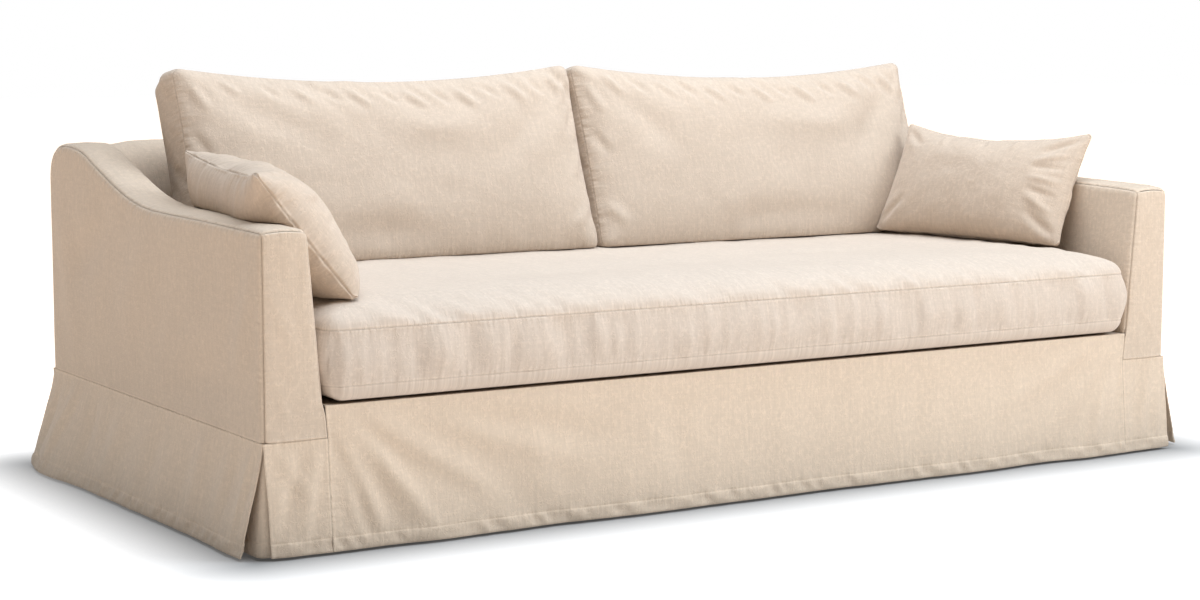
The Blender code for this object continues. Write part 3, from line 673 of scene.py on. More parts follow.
# ------------------------------------------------------------ back and deck
def inside_back():
    line = fair(BACK_LINE, .003, .014)
    t = np.gradient(line, axis=0)
    t /= np.linalg.norm(t, axis=1, keepdims=True)
    out = np.stack([-t[:, 1], t[:, 0]], 1)
    s = np.r_[0, np.cumsum(np.linalg.norm(np.diff(line, axis=0), axis=1))]
    L = s[-1]
    ts = spread(L, E_FEW, E_FEW, .0095)
    y0, z0 = np.interp(ts, s, line[:, 0]), np.interp(ts, s, line[:, 1])
    ny, nz = np.interp(ts, s, out[:, 0]), np.interp(ts, s, out[:, 1])
    ends = []
    for lb in ("left", "right"):
        e = arm_in(y0, z0, lb) - 4 * GAP
        ends.append(np.where((y0 > .47) | (e > X_BAND - 2 * GAP), X_BAND - 2 * GAP, e))
    unit = spread(2.07, E_FEW, E_FEW, .0105) / 2.07
    x = -ends[0][:, None] + (ends[0] + ends[1])[:, None] * unit[None]
    tt = np.broadcast_to(ts[:, None], x.shape)
    dx = np.minimum(x + ends[0][:, None], ends[1][:, None] - x)
    free = pinned(dx, L - tt, tt)
    hgt = .004 * np.sin(np.pi * unit[None]) * np.sin(np.pi * tt / L)
    for lb, e in (("left", x + ends[0][:, None]), ("right", ends[1][:, None] - x)):
        step = np.maximum(0, z0 - arm_top(y0, lb)) + .003
        hgt = hgt - (step * smooth(.66, .72, z0))[:, None] * np.exp(-(e / .05) ** 2)
    hgt = hgt + free * (.0022 * lumps(x, tt, .22, 91) + .0007 * lumps(x, tt, .05, 92))
    hgt = hgt + free * creases(x, tt, [
        ([(-.90, .47), (-.82, .60)], .020, .0020), ([(-.40, .62), (-.30, .50)], .024, -.0022),
        ([(.05, .48), (.10, .62)], .022, .0024), ([(.52, .62), (.60, .50)], .022, -.0020),
        ([(.88, .48), (.95, .60)], .020, .0022), ([(-1.02, .35), (-.85, .42)], .018, -.0016)])
    P = np.stack([x, y0[:, None] + ny[:, None] * hgt, z0[:, None] + nz[:, None] * hgt], -1)
    P = lift(P, (0, -1, .3), welt(np.minimum(dx, L - tt)))
    seam = seam_field((dx, tt, .7), (L - tt, x, .8))
    ob = sheet("inside_back", P, (0, -1, .3), np.stack([x, tt], -1), seam, "body_cloth")
    return ob


def outside_back():
    h = BACK_END_Z - GAP - SEAM_Z - GAP / 2
    zs = SEAM_Z + GAP / 2 + spread(h, E, E, .0105)
    xs = -X_OUT + D0 + spread(WIDTH - 2 * D0, E, E, .0115)
    x, z = np.meshgrid(xs, zs)
    de = X_OUT - np.abs(x)
    u, v = (x + X_OUT) / WIDTH, (z - SEAM_Z) / h
    se, sd, st = de - D0, z - SEAM_Z, BACK_END_Z - z
    free = pinned(se, sd, st)
    y = Y_B + .003 * np.sin(np.pi * u) * np.sin(np.pi * v) - roll(ROLL, de)
    y = y + free * (.0022 * lumps(x, z, .28, 101) + .0006 * lumps(x, z, .06, 102))
    y = y + free * creases(x, z, [
        ([(-1.08, .60), (-.92, .45), (-.86, .26)], .040, .0026),
        ([(1.08, .60), (.94, .45), (.88, .26)], .040, .0026),
        ([(-.70, .62), (-.30, .50), (.10, .62)], .045, -.0020),
        ([(-.45, .24), (-.38, .42)], .040, .0022), ([(.30, .24), (.38, .44)], .045, -.0022),
        ([(.55, .62), (.62, .42)], .035, .0020)])
    P = np.stack([x, y, z], -1)
    P = lift(P, (0, 1, 0), welt(np.minimum(np.minimum(se, sd), st)))
    seam = seam_field((se, z, .5), (sd, x, .6), (st, x, .8))
    ob = sheet("outside_back", P, (0, 1, 0), np.stack([x, z], -1), seam, "body_cloth")
    return ob


def seat_deck():
    edge = X_FOOT + 0.003
    y0, y1 = Y_F + CLOTH + GAP, BACK_LINE[0][0] - GAP
    xs = -edge + spread(2 * edge, E_FEW, E_FEW, .024)
    ys = y0 + spread(y1 - y0, E_FEW, E_FEW, .022)
    x, y = np.meshgrid(xs, ys)
    d = np.minimum(edge - np.abs(x), np.minimum(y - y0, y1 - y))
    z = DECK_Z + pinned(d) * (-.0010 + .0009 * lumps(x, y, .18, 111))
    z = np.minimum(z, DECK_Z + .0012)
    seam = seam_field((d, x + y, .3))
    ob = sheet("seat_deck", np.stack([x, y, z], -1), (0, 0, 1), np.stack([x, y], -1),
               seam, "body_cloth")
    return ob


# ------------------------------------------------------------ skirts
def fold_rise(folds, x, drop):
    total = 0.0
    for top, hem, width, rise in folds:
        total = total + rise * np.exp(-((x - top - (hem - top) * drop) / width) ** 2)
    return total * smooth(0, .8, drop)


HEM = .027


def hem_marks(up, along, seed):
    """Relief and extra thickness of a turned hem; up is the height above it."""
    mm = up * 1000
    line = -.7 * np.exp(-((mm - HEM * 1000) / 1.5) ** 2)
    body = .8 / (1 + np.exp((mm - HEM * 1000 + 2.5) / 1.2))
    pull = 4.2 * noise2(along + .45 * up, up * .20, .017, seed) * np.exp(
        -(np.abs(mm - HEM * 1000 + 12) / 13.0) ** 2)
    fall = -1.6 * np.exp(-(mm / 2.0) ** 2)
    return 1e-3 * (line + body + pull + fall), 1e-3 * 1.2 / (1 + np.exp((mm - 27) / 1.0))


def hem_rows(height):
    """Distances down a skirt: dense at its seam, its stitch line and its hem."""
    low = np.array([0, .9, 2.2, 4, 6.5, 9.5, 13, 17, 20.5, 23, 24.6, 25.8, 27, 28.2,
                    29.4, 31, 34, 39, 46]) * 1e-3
    n = int(round((height - E[-1] - low[-1]) / .0085))
    mid = E[-1] + (height - E[-1] - low[-1]) * np.arange(1, n) / n
    return np.r_[E, mid, height - low[::-1]]


def front_panel():
    down = hem_rows(DECK_Z)
    z = (DECK_Z - down)[:, None]
    edge = np.where(z > SEAM_Z, arm_in(Y_F, z, "left"), X_FOOT) - GAP
    unit = spread(2.036, E, E, .0078) / 2.036
    x = -edge + 2 * edge * unit[None]
    z = np.broadcast_to(z, x.shape)
    drop = np.maximum(0, (SEAM_Z - z) / SEAM_Z)
    deep = (DECK_Z - z) / DECK_Z
    tame = smooth(0, .04, unit)[None] * smooth(0, .04, 1 - unit)[None]
    y = Y_F - FRONT_FLARE * drop ** 1.2 - fold_rise(FRONT_FOLDS, x, deep) * tame
    dx = edge - np.abs(x)
    free = pinned(dx, DECK_Z - z, reach=.016)
    y = y - free * (.0016 * lumps(x, z, .20, 121) + .0005 * lumps(x, z, .05, 122))
    y = y - 1.25 * free * creases(x, z, FRONT_CREASES)
    relief, extra = hem_marks(z, x, 123)
    P = np.stack([x, y, z], -1)
    P = lift(P, (0, -1, 0), welt(dx) + relief)
    seam = seam_field((dx, z, .7), (np.abs(z - HEM) * 1.0 + .0022, x, .55))
    ob = sheet("front_panel", P, (0, -1, 0), np.stack([x, z], -1), seam, "skirt_cloth",
               hemmed=extra)
    return ob


FRONT_CREASES = [  # long soft folds that run down and in from the arms' seams
    ([(-1.008, .235), (-.945, .130), (-.905, .000)], .015, .0062, .2),
    ([(-1.006, .262), (-.880, .150), (-.790, .010)], .018, .0064, -.2),
    ([(-.990, .272), (-.820, .190), (-.640, .060)], .022, .0058, .1),
    ([(-.960, .275), (-.720, .215), (-.440, .120)], .024, .0040),
    ([(-.900, .262), (-.600, .200), (-.300, .150)], .028, -.0032),
    ([(-.995, .170), (-.970, .090), (-.960, .010)], .012, .0034),
    ([(-.600, .250), (-.560, .130), (-.540, .020)], .030, .0020),
    ([(-.250, .262), (-.235, .140), (-.215, .030)], .026, -.0018),
    ([(.060, .262), (.050, .130), (.030, .020)], .032, .0018),
    ([(.420, .262), (.400, .140), (.370, .030)], .026, -.0020),
    ([(.700, .250), (.680, .140), (.640, .020)], .024, .0024),
    ([(1.008, .245), (.940, .150), (.900, .010)], .016, .0058, .2),
    ([(1.006, .268), (.880, .170), (.780, .030)], .020, .0056),
    ([(.985, .274), (.800, .215), (.600, .110)], .024, .0040),
    ([(.995, .200), (.965, .100), (.955, .010)], .012, .0030)]


def skirt_front(s, label):
    down = hem_rows(SEAM_Z)
    v = down[:, None] / SEAM_Z
    z = (SEAM_Z - GAP / 2) * (1 - v)
    unit = spread(.130, E[:9], E[:9], .0065) / .130
    a = X_OUT + FRONT_PLEAT[label] * v
    x = a + (X_FOOT - a) * unit[None]
    z = np.broadcast_to(z, x.shape)
    y = Y_F - FRONT_FLARE * v ** 1.2 + .003 * v * np.sin(np.pi * unit[None])
    w = 1 - unit[None]              # 1 at the free edge
    y = y + .006 * v ** 1.4 * smooth(.55, 1, w) ** 2
    di, do = x - X_FOOT, a - x
    free = pinned(di, SEAM_Z - z, reach=.014)
    y = y - free * (.0014 * lumps(x, z, .09, 131 + s))
    lean = [([(1.030, .205), (1.062, .120), (1.075, .020)], .013, .0036, .25),
            ([(1.055, .212), (1.105, .130), (1.120, .030)], .012, -.0026),
            ([(1.120, .205), (1.090, .150), (1.050, .090)], .014, .0018)]
    if label == "right":
        lean = [([(1.120, .205), (1.080, .120), (1.060, .020)], .014, .0034, .25),
                ([(1.090, .212), (1.045, .130), (1.035, .030)], .012, -.0024),
                ([(1.135, .180), (1.120, .090), (1.115, .020)], .011, .0020)]
    y = y - 1.6 * free * creases(x, z, lean)
    relief, extra = hem_marks(z, x, 133 + s)
    fold = -1.2e-3 * np.exp(-(do / .0016) ** 2)
    P = np.stack([s * x, y, z], -1)
    P = lift(P, (0, -1, 0), welt(np.minimum(di, SEAM_Z - z)) + relief + fold)
    seam = seam_field((di, z, .6), (SEAM_Z - z, x, .8),
                      (np.abs(z - HEM) + .0022, x, .55))
    ob = sheet("skirt_front_" + label, P, (0, -1, 0), np.stack([x, z], -1), seam,
               "skirt_cloth", hemmed=extra)
    return ob


def skirt_side(s, label):
    col = 1 if label == "left" else 2
    down = hem_rows(SEAM_Z)
    v = down[:, None] / SEAM_Z
    z = (SEAM_Z - GAP / 2) * (1 - v)
    y0 = Y_F + CLOTH + GAP + .020 * v
    y1 = Y_B - CLOTH - GAP - .010 * v
    unit = spread(1.17, E[:9], E[:9], .0078) / 1.17
    y = y0 + (y1 - y0) * unit[None]
    z = np.broadcast_to(z, y.shape)
    x = X_OUT + eased(SIDE_FLARE, col, y, .035) * v ** 1.1
    df, db = y - y0, y1 - y
    free = pinned(SEAM_Z - z, reach=.014)
    x = x + free * (.0020 * lumps(y, z, .16, 141 + s) + .0005 * lumps(y, z, .05, 143))
    rows = {
        "left": [([(-.555, .212), (-.535, .110), (-.525, .015)], .013, .0030, .3),
                 ([(-.500, .205), (-.470, .110), (-.450, .020)], .020, -.0030),
                 ([(-.330, .210), (-.310, .110), (-.300, .020)], .032, .0030),
                 ([(-.120, .210), (-.080, .120), (-.060, .020)], .030, -.0024),
                 ([(.100, .205), (.140, .110), (.170, .020)], .032, .0030),
                 ([(.290, .210), (.280, .110), (.300, .020)], .026, -.0032),
                 ([(.400, .214), (.450, .110), (.485, .010)], .022, .0050, .3),
                 ([(.520, .205), (.530, .110), (.545, .015)], .018, -.0040)],
        "right": [([(-.560, .212), (-.540, .110), (-.530, .015)], .014, .0030, .3),
                  ([(-.420, .205), (-.390, .110), (-.370, .020)], .026, -.0030),
                  ([(-.230, .210), (-.200, .110), (-.190, .020)], .034, .0028),
                  ([(.000, .210), (.040, .120), (.060, .020)], .030, -.0026),
                  ([(.220, .205), (.240, .110), (.270, .020)], .030, .0030),
                  ([(.410, .214), (.450, .110), (.480, .010)], .022, .0046, .3),
                  ([(.530, .205), (.540, .110), (.550, .015)], .018, -.0036)]}[label]
    x = x + 1.7 * free * creases(y, z, rows)
    relief, extra = hem_marks(z, y, 145 + s)
    edge = -1.2e-3 * np.exp(-(np.minimum(df, db) / .0016) ** 2)
    P = np.stack([s * x, y, z], -1)
    P = lift(P, (s, 0, 0), welt(SEAM_Z - z) + relief + edge)
    seam = seam_field((SEAM_Z - z, y, .8), (np.abs(z - HEM) + .0022, y, .55))
    ob = sheet("skirt_side_" + label, P, (s, 0, 0), np.stack([y, z], -1), seam,
               "skirt_cloth", hemmed=extra)
    return ob


def skirt_back():
    down = hem_rows(SEAM_Z)
    v = down[:, None] / SEAM_Z
    z = (SEAM_Z - GAP / 2) * (1 - v)
    edge = X_OUT - .010 * v
    unit = spread(2.3, E[:9], E[:9], .0095) / 2.3
    x = -edge + 2 * edge * unit[None]
    z = np.broadcast_to(z, x.shape)
    tame = smooth(0, .05, unit)[None] * smooth(0, .05, 1 - unit)[None]
    y = Y_B + BACK_FLARE * v ** 1.2 + fold_rise(BACK_FOLDS, x, v) * tame
    free = pinned(SEAM_Z - z, reach=.014)
    y = y + free * (.0016 * lumps(x, z, .18, 151) + .0005 * lumps(x, z, .05, 152))
    y = y + free * creases(x, z, [
        ([(-1.08, .212), (-1.05, .110), (-1.03, .015)], .020, .0030),
        ([(-.60, .210), (-.58, .110), (-.57, .015)], .028, -.0024),
        ([(-.12, .210), (-.10, .110), (-.11, .015)], .026, .0024),
        ([(.44, .210), (.46, .110), (.48, .015)], .028, -.0024),
        ([(1.07, .212), (1.05, .110), (1.04, .015)], .020, .0030)])
    relief, extra = hem_marks(z, x, 153)
    P = np.stack([x, y, z], -1)
    P = lift(P, (0, 1, 0), welt(SEAM_Z - z) + relief)
    seam = seam_field((SEAM_Z - z, x, .8), (np.abs(z - HEM) + .0022, x, .55))
    ob = sheet("skirt_back", P, (0, 1, 0), np.stack([x, z], -1), seam, "skirt_cloth",
               hemmed=extra)
    return ob


def underlay(s, e, label):
    legs = np.array([  # in from the corner in x and y, stand-off at the hem in x and y
        (0, .090, .015, 0), (0, .045, .014, 0), (0, .010, .013, 0), (.003, .003, .010, .002),
        (.010, 0, 0, .004), (.045, 0, 0, .005), (.090, 0, 0, .005)])
    path = fair(legs, .0030, .0028)
    m = CLOTH + GAP
    down = hem_rows(SEAM_Z)
    v = down[:, None] / SEAM_Z
    z = np.broadcast_to((SEAM_Z - GAP / 2) * (1 - v), (len(down), len(path)))
    x = X_OUT - m - path[None, :, 0] + path[None, :, 2] * v
    y = Y_B - m - path[None, :, 1] + path[None, :, 3] * v
    a = np.linspace(0, .18, len(path))[None] + 0 * v
    relief, extra = hem_marks(z, a, 161 + s + 2 * e)
    P = np.stack([s * x, e * y, z], -1)
    P = lift(P, (s, e, 0), relief - .0006)
    seam = seam_field((np.abs(z - HEM) + .0022, a, .5))
    ob = sheet("pleat_underlay_" + label, P, (s, e, 0), np.stack([a, z], -1), seam,
               "skirt_cloth", hemmed=extra * .6)
    return ob


# ------------------------------------------------------------ filled pieces
def arc_table(rise, reach=1.2):
    """Inset from a cushion's edge against the way over its crown."""
    d = reach * np.linspace(0, 1, 6000) ** 3
    return d, np.r_[0, np.cumsum(np.hypot(np.diff(d), np.diff(rise(d))))]


def over(half, table, cell):
    """Places across a cushion, evenly spaced over its crown."""
    reach = float(np.interp(half, *table))
    t = spread(2 * reach, E, E, cell)
    t = np.where(t < reach, t, 2 * reach - t)
    side = np.where(np.arange(len(t)) < len(t) / 2, -1, 1)
    return side * (half - np.interp(t, table[1], table[0]))


def rounded_grid(hx, hy, r, cell_x, cell_y, table=None):
    """A grid over a rounded rectangle and each point's distance to its edge."""
    if table is None:
        table = (np.array([0, 2.0]), np.array([0, 2.0]))
    xs = over(hx, table, cell_x)
    ys = over(hy, table, cell_y)
    X, Y = np.meshgrid(xs, ys)
    px, py = (np.abs(X) - (hx - r)) / r, (np.abs(Y) - (hy - r)) / r
    corner = (px > 0) & (py > 0)
    p, q = np.clip(px, 0, 1), np.clip(py, 0, 1)
    X2 = np.where(corner, np.sign(X) * (hx - r + r * p * np.sqrt(1 - q * q / 2)), X)
    Y2 = np.where(corner, np.sign(Y) * (hy - r + r * q * np.sqrt(1 - p * p / 2)), Y)
    qx, qy = np.abs(X2) - (hx - r), np.abs(Y2) - (hy - r)
    d = r - (np.hypot(np.maximum(qx, 0), np.maximum(qy, 0))
             + np.minimum(np.maximum(qx, qy), 0))
    return X2, Y2, np.maximum(0, d)


def border(rows, cols):
    idx = np.arange(rows * cols).reshape(rows, cols)
    return np.r_[idx[0, :], idx[1:, -1], idx[-1, -2::-1], idx[-2:0:-1, 0]]


def along_ring(pts):
    step = np.linalg.norm(np.roll(pts, -1, axis=0) - pts, axis=1)
    return np.r_[0, np.cumsum(step)[:-1]]


def vertex_normals(V, faces):
    n = np.zeros_like(V)
    for f in faces:
        a, b, c, d = (V[f[:, k]] for k in range(4))
        m = np.cross(c - a, d - b)
        for k in range(4):
            np.add.at(n, f[:, k], m)
    return n / np.maximum(1e-12, np.linalg.norm(n, axis=1, keepdims=True))


def boxed(name, node, slot, top, ring_rows, bottom, cloth, seam, lifts, cap=None,
          clamp=None):
    """A cushion: a top grid, rows of boxing round it, and a bottom grid or cap.
    top and bottom are (rows, cols, 3); ring_rows (k, ring, 3)."""
    rows, cols = top.shape[:2]
    k = rows * cols
    ring = border(rows, cols)
    m = len(ring)
    parts = [top.reshape(-1, 3), ring_rows.reshape(-1, 3)]
    faces = [grid_faces(rows, cols)]
    nb = len(ring_rows)
    belt = [ring] + [k + m * i + np.arange(m) for i in range(nb)]
    if bottom is not None:
        parts.append(bottom.reshape(-1, 3))
        belt.append(k + m * nb + ring)
        faces.append(grid_faces(rows, cols, k + m * nb, True))
    for a, b in zip(belt, belt[1:]):
        faces.append(np.stack([a, b, np.roll(b, -1), np.roll(a, -1)], 1))
    V = np.vstack(parts)
    tri = []
    if bottom is None:
        mid = V[belt[-1]].mean(0)
        V = np.vstack([V, mid])
        tri = [np.stack([belt[-1], np.full(m, len(V) - 1), np.roll(belt[-1], -1)], 1)]
        cloth = np.vstack([cloth, mid[:2]])
        seam = np.vstack([seam, [.2, 0, 0]])
        lifts = np.r_[lifts, 0]
    n = vertex_normals(V, faces)
    centre = V.mean(0)
    if (n * (V - centre)).sum() < 0:
        faces = [f[:, ::-1] for f in faces]
        tri = [f[:, ::-1] for f in tri]
        n = -n
    V = V + n * lifts[:, None]
    if clamp is not None:
        V = clamp(V)
    ob = mesh_object(name, V, faces + tri, cloth, seam, slot)
    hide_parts(node)
    return ob


def smooth_edge(dx, dy, p=4.0):
    dx, dy = np.maximum(dx, 1e-5), np.maximum(dy, 1e-5)
    return (dx ** -p + dy ** -p) ** (-1 / p)


def rim_edge(dx, dy, r, ds):
    """The distance ds, eased to the true distance beside a border of radius r."""
    a, b = np.maximum(0, r - dx), np.maximum(0, r - dy)
    true = np.where((a > 0) & (b > 0), r - np.hypot(a, b), np.minimum(dx, dy))
    w = np.exp(-(np.maximum(0, true) / .030) ** 1.5)
    return np.maximum(0, ds + (np.minimum(true, ds) - ds) * w)


def seat_top(x, y):
    mid, hy = (SEAT["front"] + SEAT["back"]) / 2, (SEAT["back"] - SEAT["front"]) / 2
    d = smooth_edge(SEAT["half"] - np.abs(x), hy - np.abs(y - mid))
    return SEAT["upper_seam"] + SEAT["crown"] * np.sqrt(
        np.maximum(0, 1 - (1 - np.clip(d / .17, 0, 1)) ** 2.2))


def seat_cushion():
    mid, hy = (SEAT["front"] + SEAT["back"]) / 2, (SEAT["back"] - SEAT["front"]) / 2
    inset = .005

    def rise(t):
        return SEAT["crown"] * np.sqrt(np.maximum(
            0, 1 - (1 - np.clip(t / .17, 0, 1)) ** 2.2))

    table = arc_table(rise)
    X, Y, d = rounded_grid(SEAT["half"] - inset, hy - inset, SEAT["corner"] - .001,
                           .0072, .0105, table)
    rows, cols = X.shape
    ds = smooth_edge(SEAT["half"] - inset - np.abs(X), hy - inset - np.abs(Y))
    ds = rim_edge(SEAT["half"] - inset - np.abs(X), hy - inset - np.abs(Y),
                  SEAT["corner"] - .001, ds)
    z = SEAT["upper_seam"] + rise(ds)
    d_flat, d = d, np.interp(d, *table)
    z = np.where(d < 1e-6, SEAT["upper_seam"], z)
    top = np.stack([X, Y + mid, z], -1)
    ring = border(rows, cols)
    pts = top.reshape(-1, 3)[ring]
    ahead = np.roll(pts, -1, 0) - np.roll(pts, 1, 0)
    nrm = np.stack([ahead[:, 1], -ahead[:, 0]], 1)
    nrm /= np.linalg.norm(nrm, axis=1, keepdims=True)
    a = along_ring(pts)
    hb = SEAT["upper_seam"] - SEAT["lower_seam"]
    down = spread(hb, E, E, .0075)[1:]
    puff = .0125 * np.sin(.82 * np.pi * np.clip(down / hb, 0, 1) ** 1.1)
    low_out = puff[-1]
    wavy = (.0016 * noise2(a, a * 0, .060, 201) + .0020 * noise2(a, a * 0 + 3, .026, 202)
            + .0012 * noise2(a, a * 0 + 5, .015, 205))
    belt = []
    for dz, pf in zip(down, puff):
        w = math.sin(math.pi * min(1, dz / hb))
        o = pf + w ** .7 * (1.9 * wavy + .0044 * noise2(
            a + .3 * dz, np.full(len(a), dz * .28), .026, 203)
            + .0020 * noise2(a, np.full(len(a), dz), .050, 204))
        o = o - np.abs(nrm[:, 0]) * .007 * (dz / hb) ** 3
        belt.append(np.c_[pts[:, :2] + nrm * o[:, None],
                          np.full(len(pts), SEAT["upper_seam"] - dz)])
    hb2 = SEAT["lower_seam"] - SEAT["bottom"]
    for g, (ins, zz) in enumerate([(.0002, .3095), (.0009, .3045), (.0026, .2990),
                                   (.0056, .2935), (.0100, .2888), (.0160, .2850),
                                   (.0260, .2825), (.050, .2812), (.12, .281), (.25, .281)]):
        f = max(0, 1 - g / 5)
        o = low_out - ins - np.abs(nrm[:, 0]) * (.007 + .8 * min(ins, .03)) + wavy * .4 * f
        belt.append(np.c_[pts[:, :2] + nrm * o[:, None], np.full(len(pts), zz)])
    belt = np.array(belt)
    # seams: upper at the grid's border, lower after the boxing
    nd = len(down)
    cl = np.vstack([np.c_[X.ravel(), Y.ravel()]]
                   + [np.c_[a, np.full(len(a), down[min(i, nd - 1)])]
                      for i in range(len(belt))])
    across = (hy - np.abs(Y)) - (SEAT["half"] - np.abs(X))
    lengthways = np.where(across < 0, X, Y + 7)
    calm = smooth(.0, .05, np.abs(across)) * smooth(.02, .16, np.hypot(
        hy - np.abs(Y), SEAT["half"] - np.abs(X)))
    face_seam = np.c_[d.ravel(), lengthways.ravel(), calm.ravel()]
    sm = [face_seam]
    lf = [(welt(d) + pinned(d, reach=.03) * (
        .0030 * lumps(X, Y, .30, 211) + .0010 * lumps(X, Y, .09, 212)
        + creases(X, Y + mid, SEAT_CREASES))
        + calm * (1 - np.exp(-(d / .013) ** 2)) * (
            np.exp(-d / .080) * .0046 * noise2(lengthways + .5 * d, d * .14, .026, 213)
            + np.exp(-d / .020) * .0010 * noise2(lengthways, d * .3, .016, 215)
            + np.exp(-d / .16) * .0030 * noise2(lengthways + .8 * d, d * .12, .050, 216))).ravel()]
    for i in range(len(belt)):
        if i < nd:
            dd = min(down[i], hb - down[i])
            sm.append(np.c_[np.full(len(a), dd), a, np.full(len(a), 1.0)])
            base = welt(dd) + (np.exp(-dd / .016) * .0011 * noise2(
                a, a * 0 + dd * .4, .016, 214) * (1 - math.exp(-(dd / .002) ** 2)))
            lf.append(base + 0 * a)
        else:
            dd = .004 * (i - nd + 1)
            sm.append(np.c_[np.full(len(a), dd), a, np.full(len(a), .8)])
            lf.append(0 * a + (welt(dd, .25, .2) if i - nd < 4 else 0))
    ob = boxed("seat_cushion", "seat_cushion", "cushion_cloth", top, belt, None, cl,
               np.vstack(sm), np.concatenate(lf),
               clamp=lambda V: np.c_[V[:, :2], np.maximum(V[:, 2], SEAT["bottom"])])
    return ob


SEAT_CREASES = [  # soft bends in the seat's top, in from its edges
    ([(-.98, -.52), (-.90, -.40)], .016, -.0022), ([(-.70, -.585), (-.66, -.47)], .014, .0016),
    ([(-.35, -.590), (-.36, -.48)], .013, -.0015), ([(.02, -.590), (.00, -.47)], .014, .0015),
    ([(.38, -.590), (.40, -.47)], .014, -.0015), ([(.72, -.590), (.69, -.48)], .014, .0016),
    ([(.985, -.53), (.90, -.42)], .016, -.0022), ([(-.80, -.30), (-.30, -.36), (.20, -.28)], .060, -.0030),
    ([(.10, -.20), (.55, -.30), (.90, -.22)], .055, -.0026)]


GATHERS = {  # across the cushion from its middle and up it; short diagonal gathers
    "left": [
        ([(-.40, .205), (-.36, .165)], .008, .0026), ([(-.31, .203), (-.27, .158)], .008, -.0028),
        ([(-.24, .200), (-.19, .148)], .009, .0034), ([(-.17, .200), (-.12, .150)], .008, -.0030),
        ([(-.11, .198), (-.05, .140)], .009, .0036), ([(-.03, .196), (.02, .150)], .008, -.0030),
        ([(.03, .196), (.09, .135)], .009, .0038), ([(.10, .198), (.15, .145)], .008, -.0032),
        ([(.16, .198), (.22, .130)], .010, .0040), ([(.23, .200), (.28, .150)], .008, -.0034),
        ([(.29, .202), (.35, .135)], .010, .0042), ([(.36, .205), (.40, .155)], .009, -.0036),
        ([(.42, .208), (.46, .150)], .009, .0040), ([(.470, .190), (.440, .110)], .010, .0036),
        ([(.480, .120), (.450, .040)], .010, -.0030), ([(.482, .020), (.455, -.060)], .010, .0028),
        ([(-.470, .190), (-.440, .120)], .010, .0030), ([(-.482, .080), (-.450, .010)], .010, -.0026),
        ([(-.480, -.060), (-.440, -.120)], .012, .0026), ([(.480, -.120), (.430, -.180)], .012, .0030),
        ([(-.46, .200), (-.30, .090), (-.16, .040)], .035, -.0040),
        ([(.46, .200), (.33, .080), (.24, -.040)], .035, -.0044),
        ([(-.30, -.190), (-.10, -.150), (.12, -.190)], .030, -.0036),
        ([(-.05, .110), (.10, .060), (.24, .075)], .034, .0032)],
    "right": [
        ([(-.43, .208), (-.38, .150)], .009, .0036), ([(-.36, .204), (-.31, .150)], .008, -.0030),
        ([(-.29, .202), (-.23, .145)], .009, .0036), ([(-.22, .200), (-.17, .150)], .008, -.0030),
        ([(-.15, .198), (-.09, .140)], .009, .0038), ([(-.08, .196), (-.03, .150)], .008, -.0030),
        ([(-.01, .196), (.05, .135)], .009, .0038), ([(.06, .196), (.11, .145)], .008, -.0030),
        ([(.12, .198), (.18, .130)], .010, .0042), ([(.20, .200), (.25, .145)], .008, -.0034),
        ([(.26, .200), (.32, .135)], .010, .0042), ([(.33, .203), (.38, .150)], .009, -.0036),
        ([(.40, .206), (.45, .140)], .010, .0044), ([(.475, .190), (.445, .110)], .010, .0036),
        ([(.482, .110), (.450, .030)], .010, -.0030), ([(-.475, .180), (-.445, .100)], .010, .0034),
        ([(-.482, .060), (-.450, -.010)], .010, -.0028), ([(.480, -.060), (.440, -.130)], .012, .0028),
        ([(-.480, -.120), (-.430, -.180)], .012, .0028),
        ([(.46, .200), (.34, .080), (.26, -.050)], .035, -.0046),
        ([(-.46, .195), (-.34, .080), (-.24, -.020)], .035, -.0040),
        ([(-.20, -.190), (.05, -.150), (.25, -.190)], .030, -.0036),
        ([(.00, .100), (.12, .050), (.28, .070)], .034, .0034)],
}


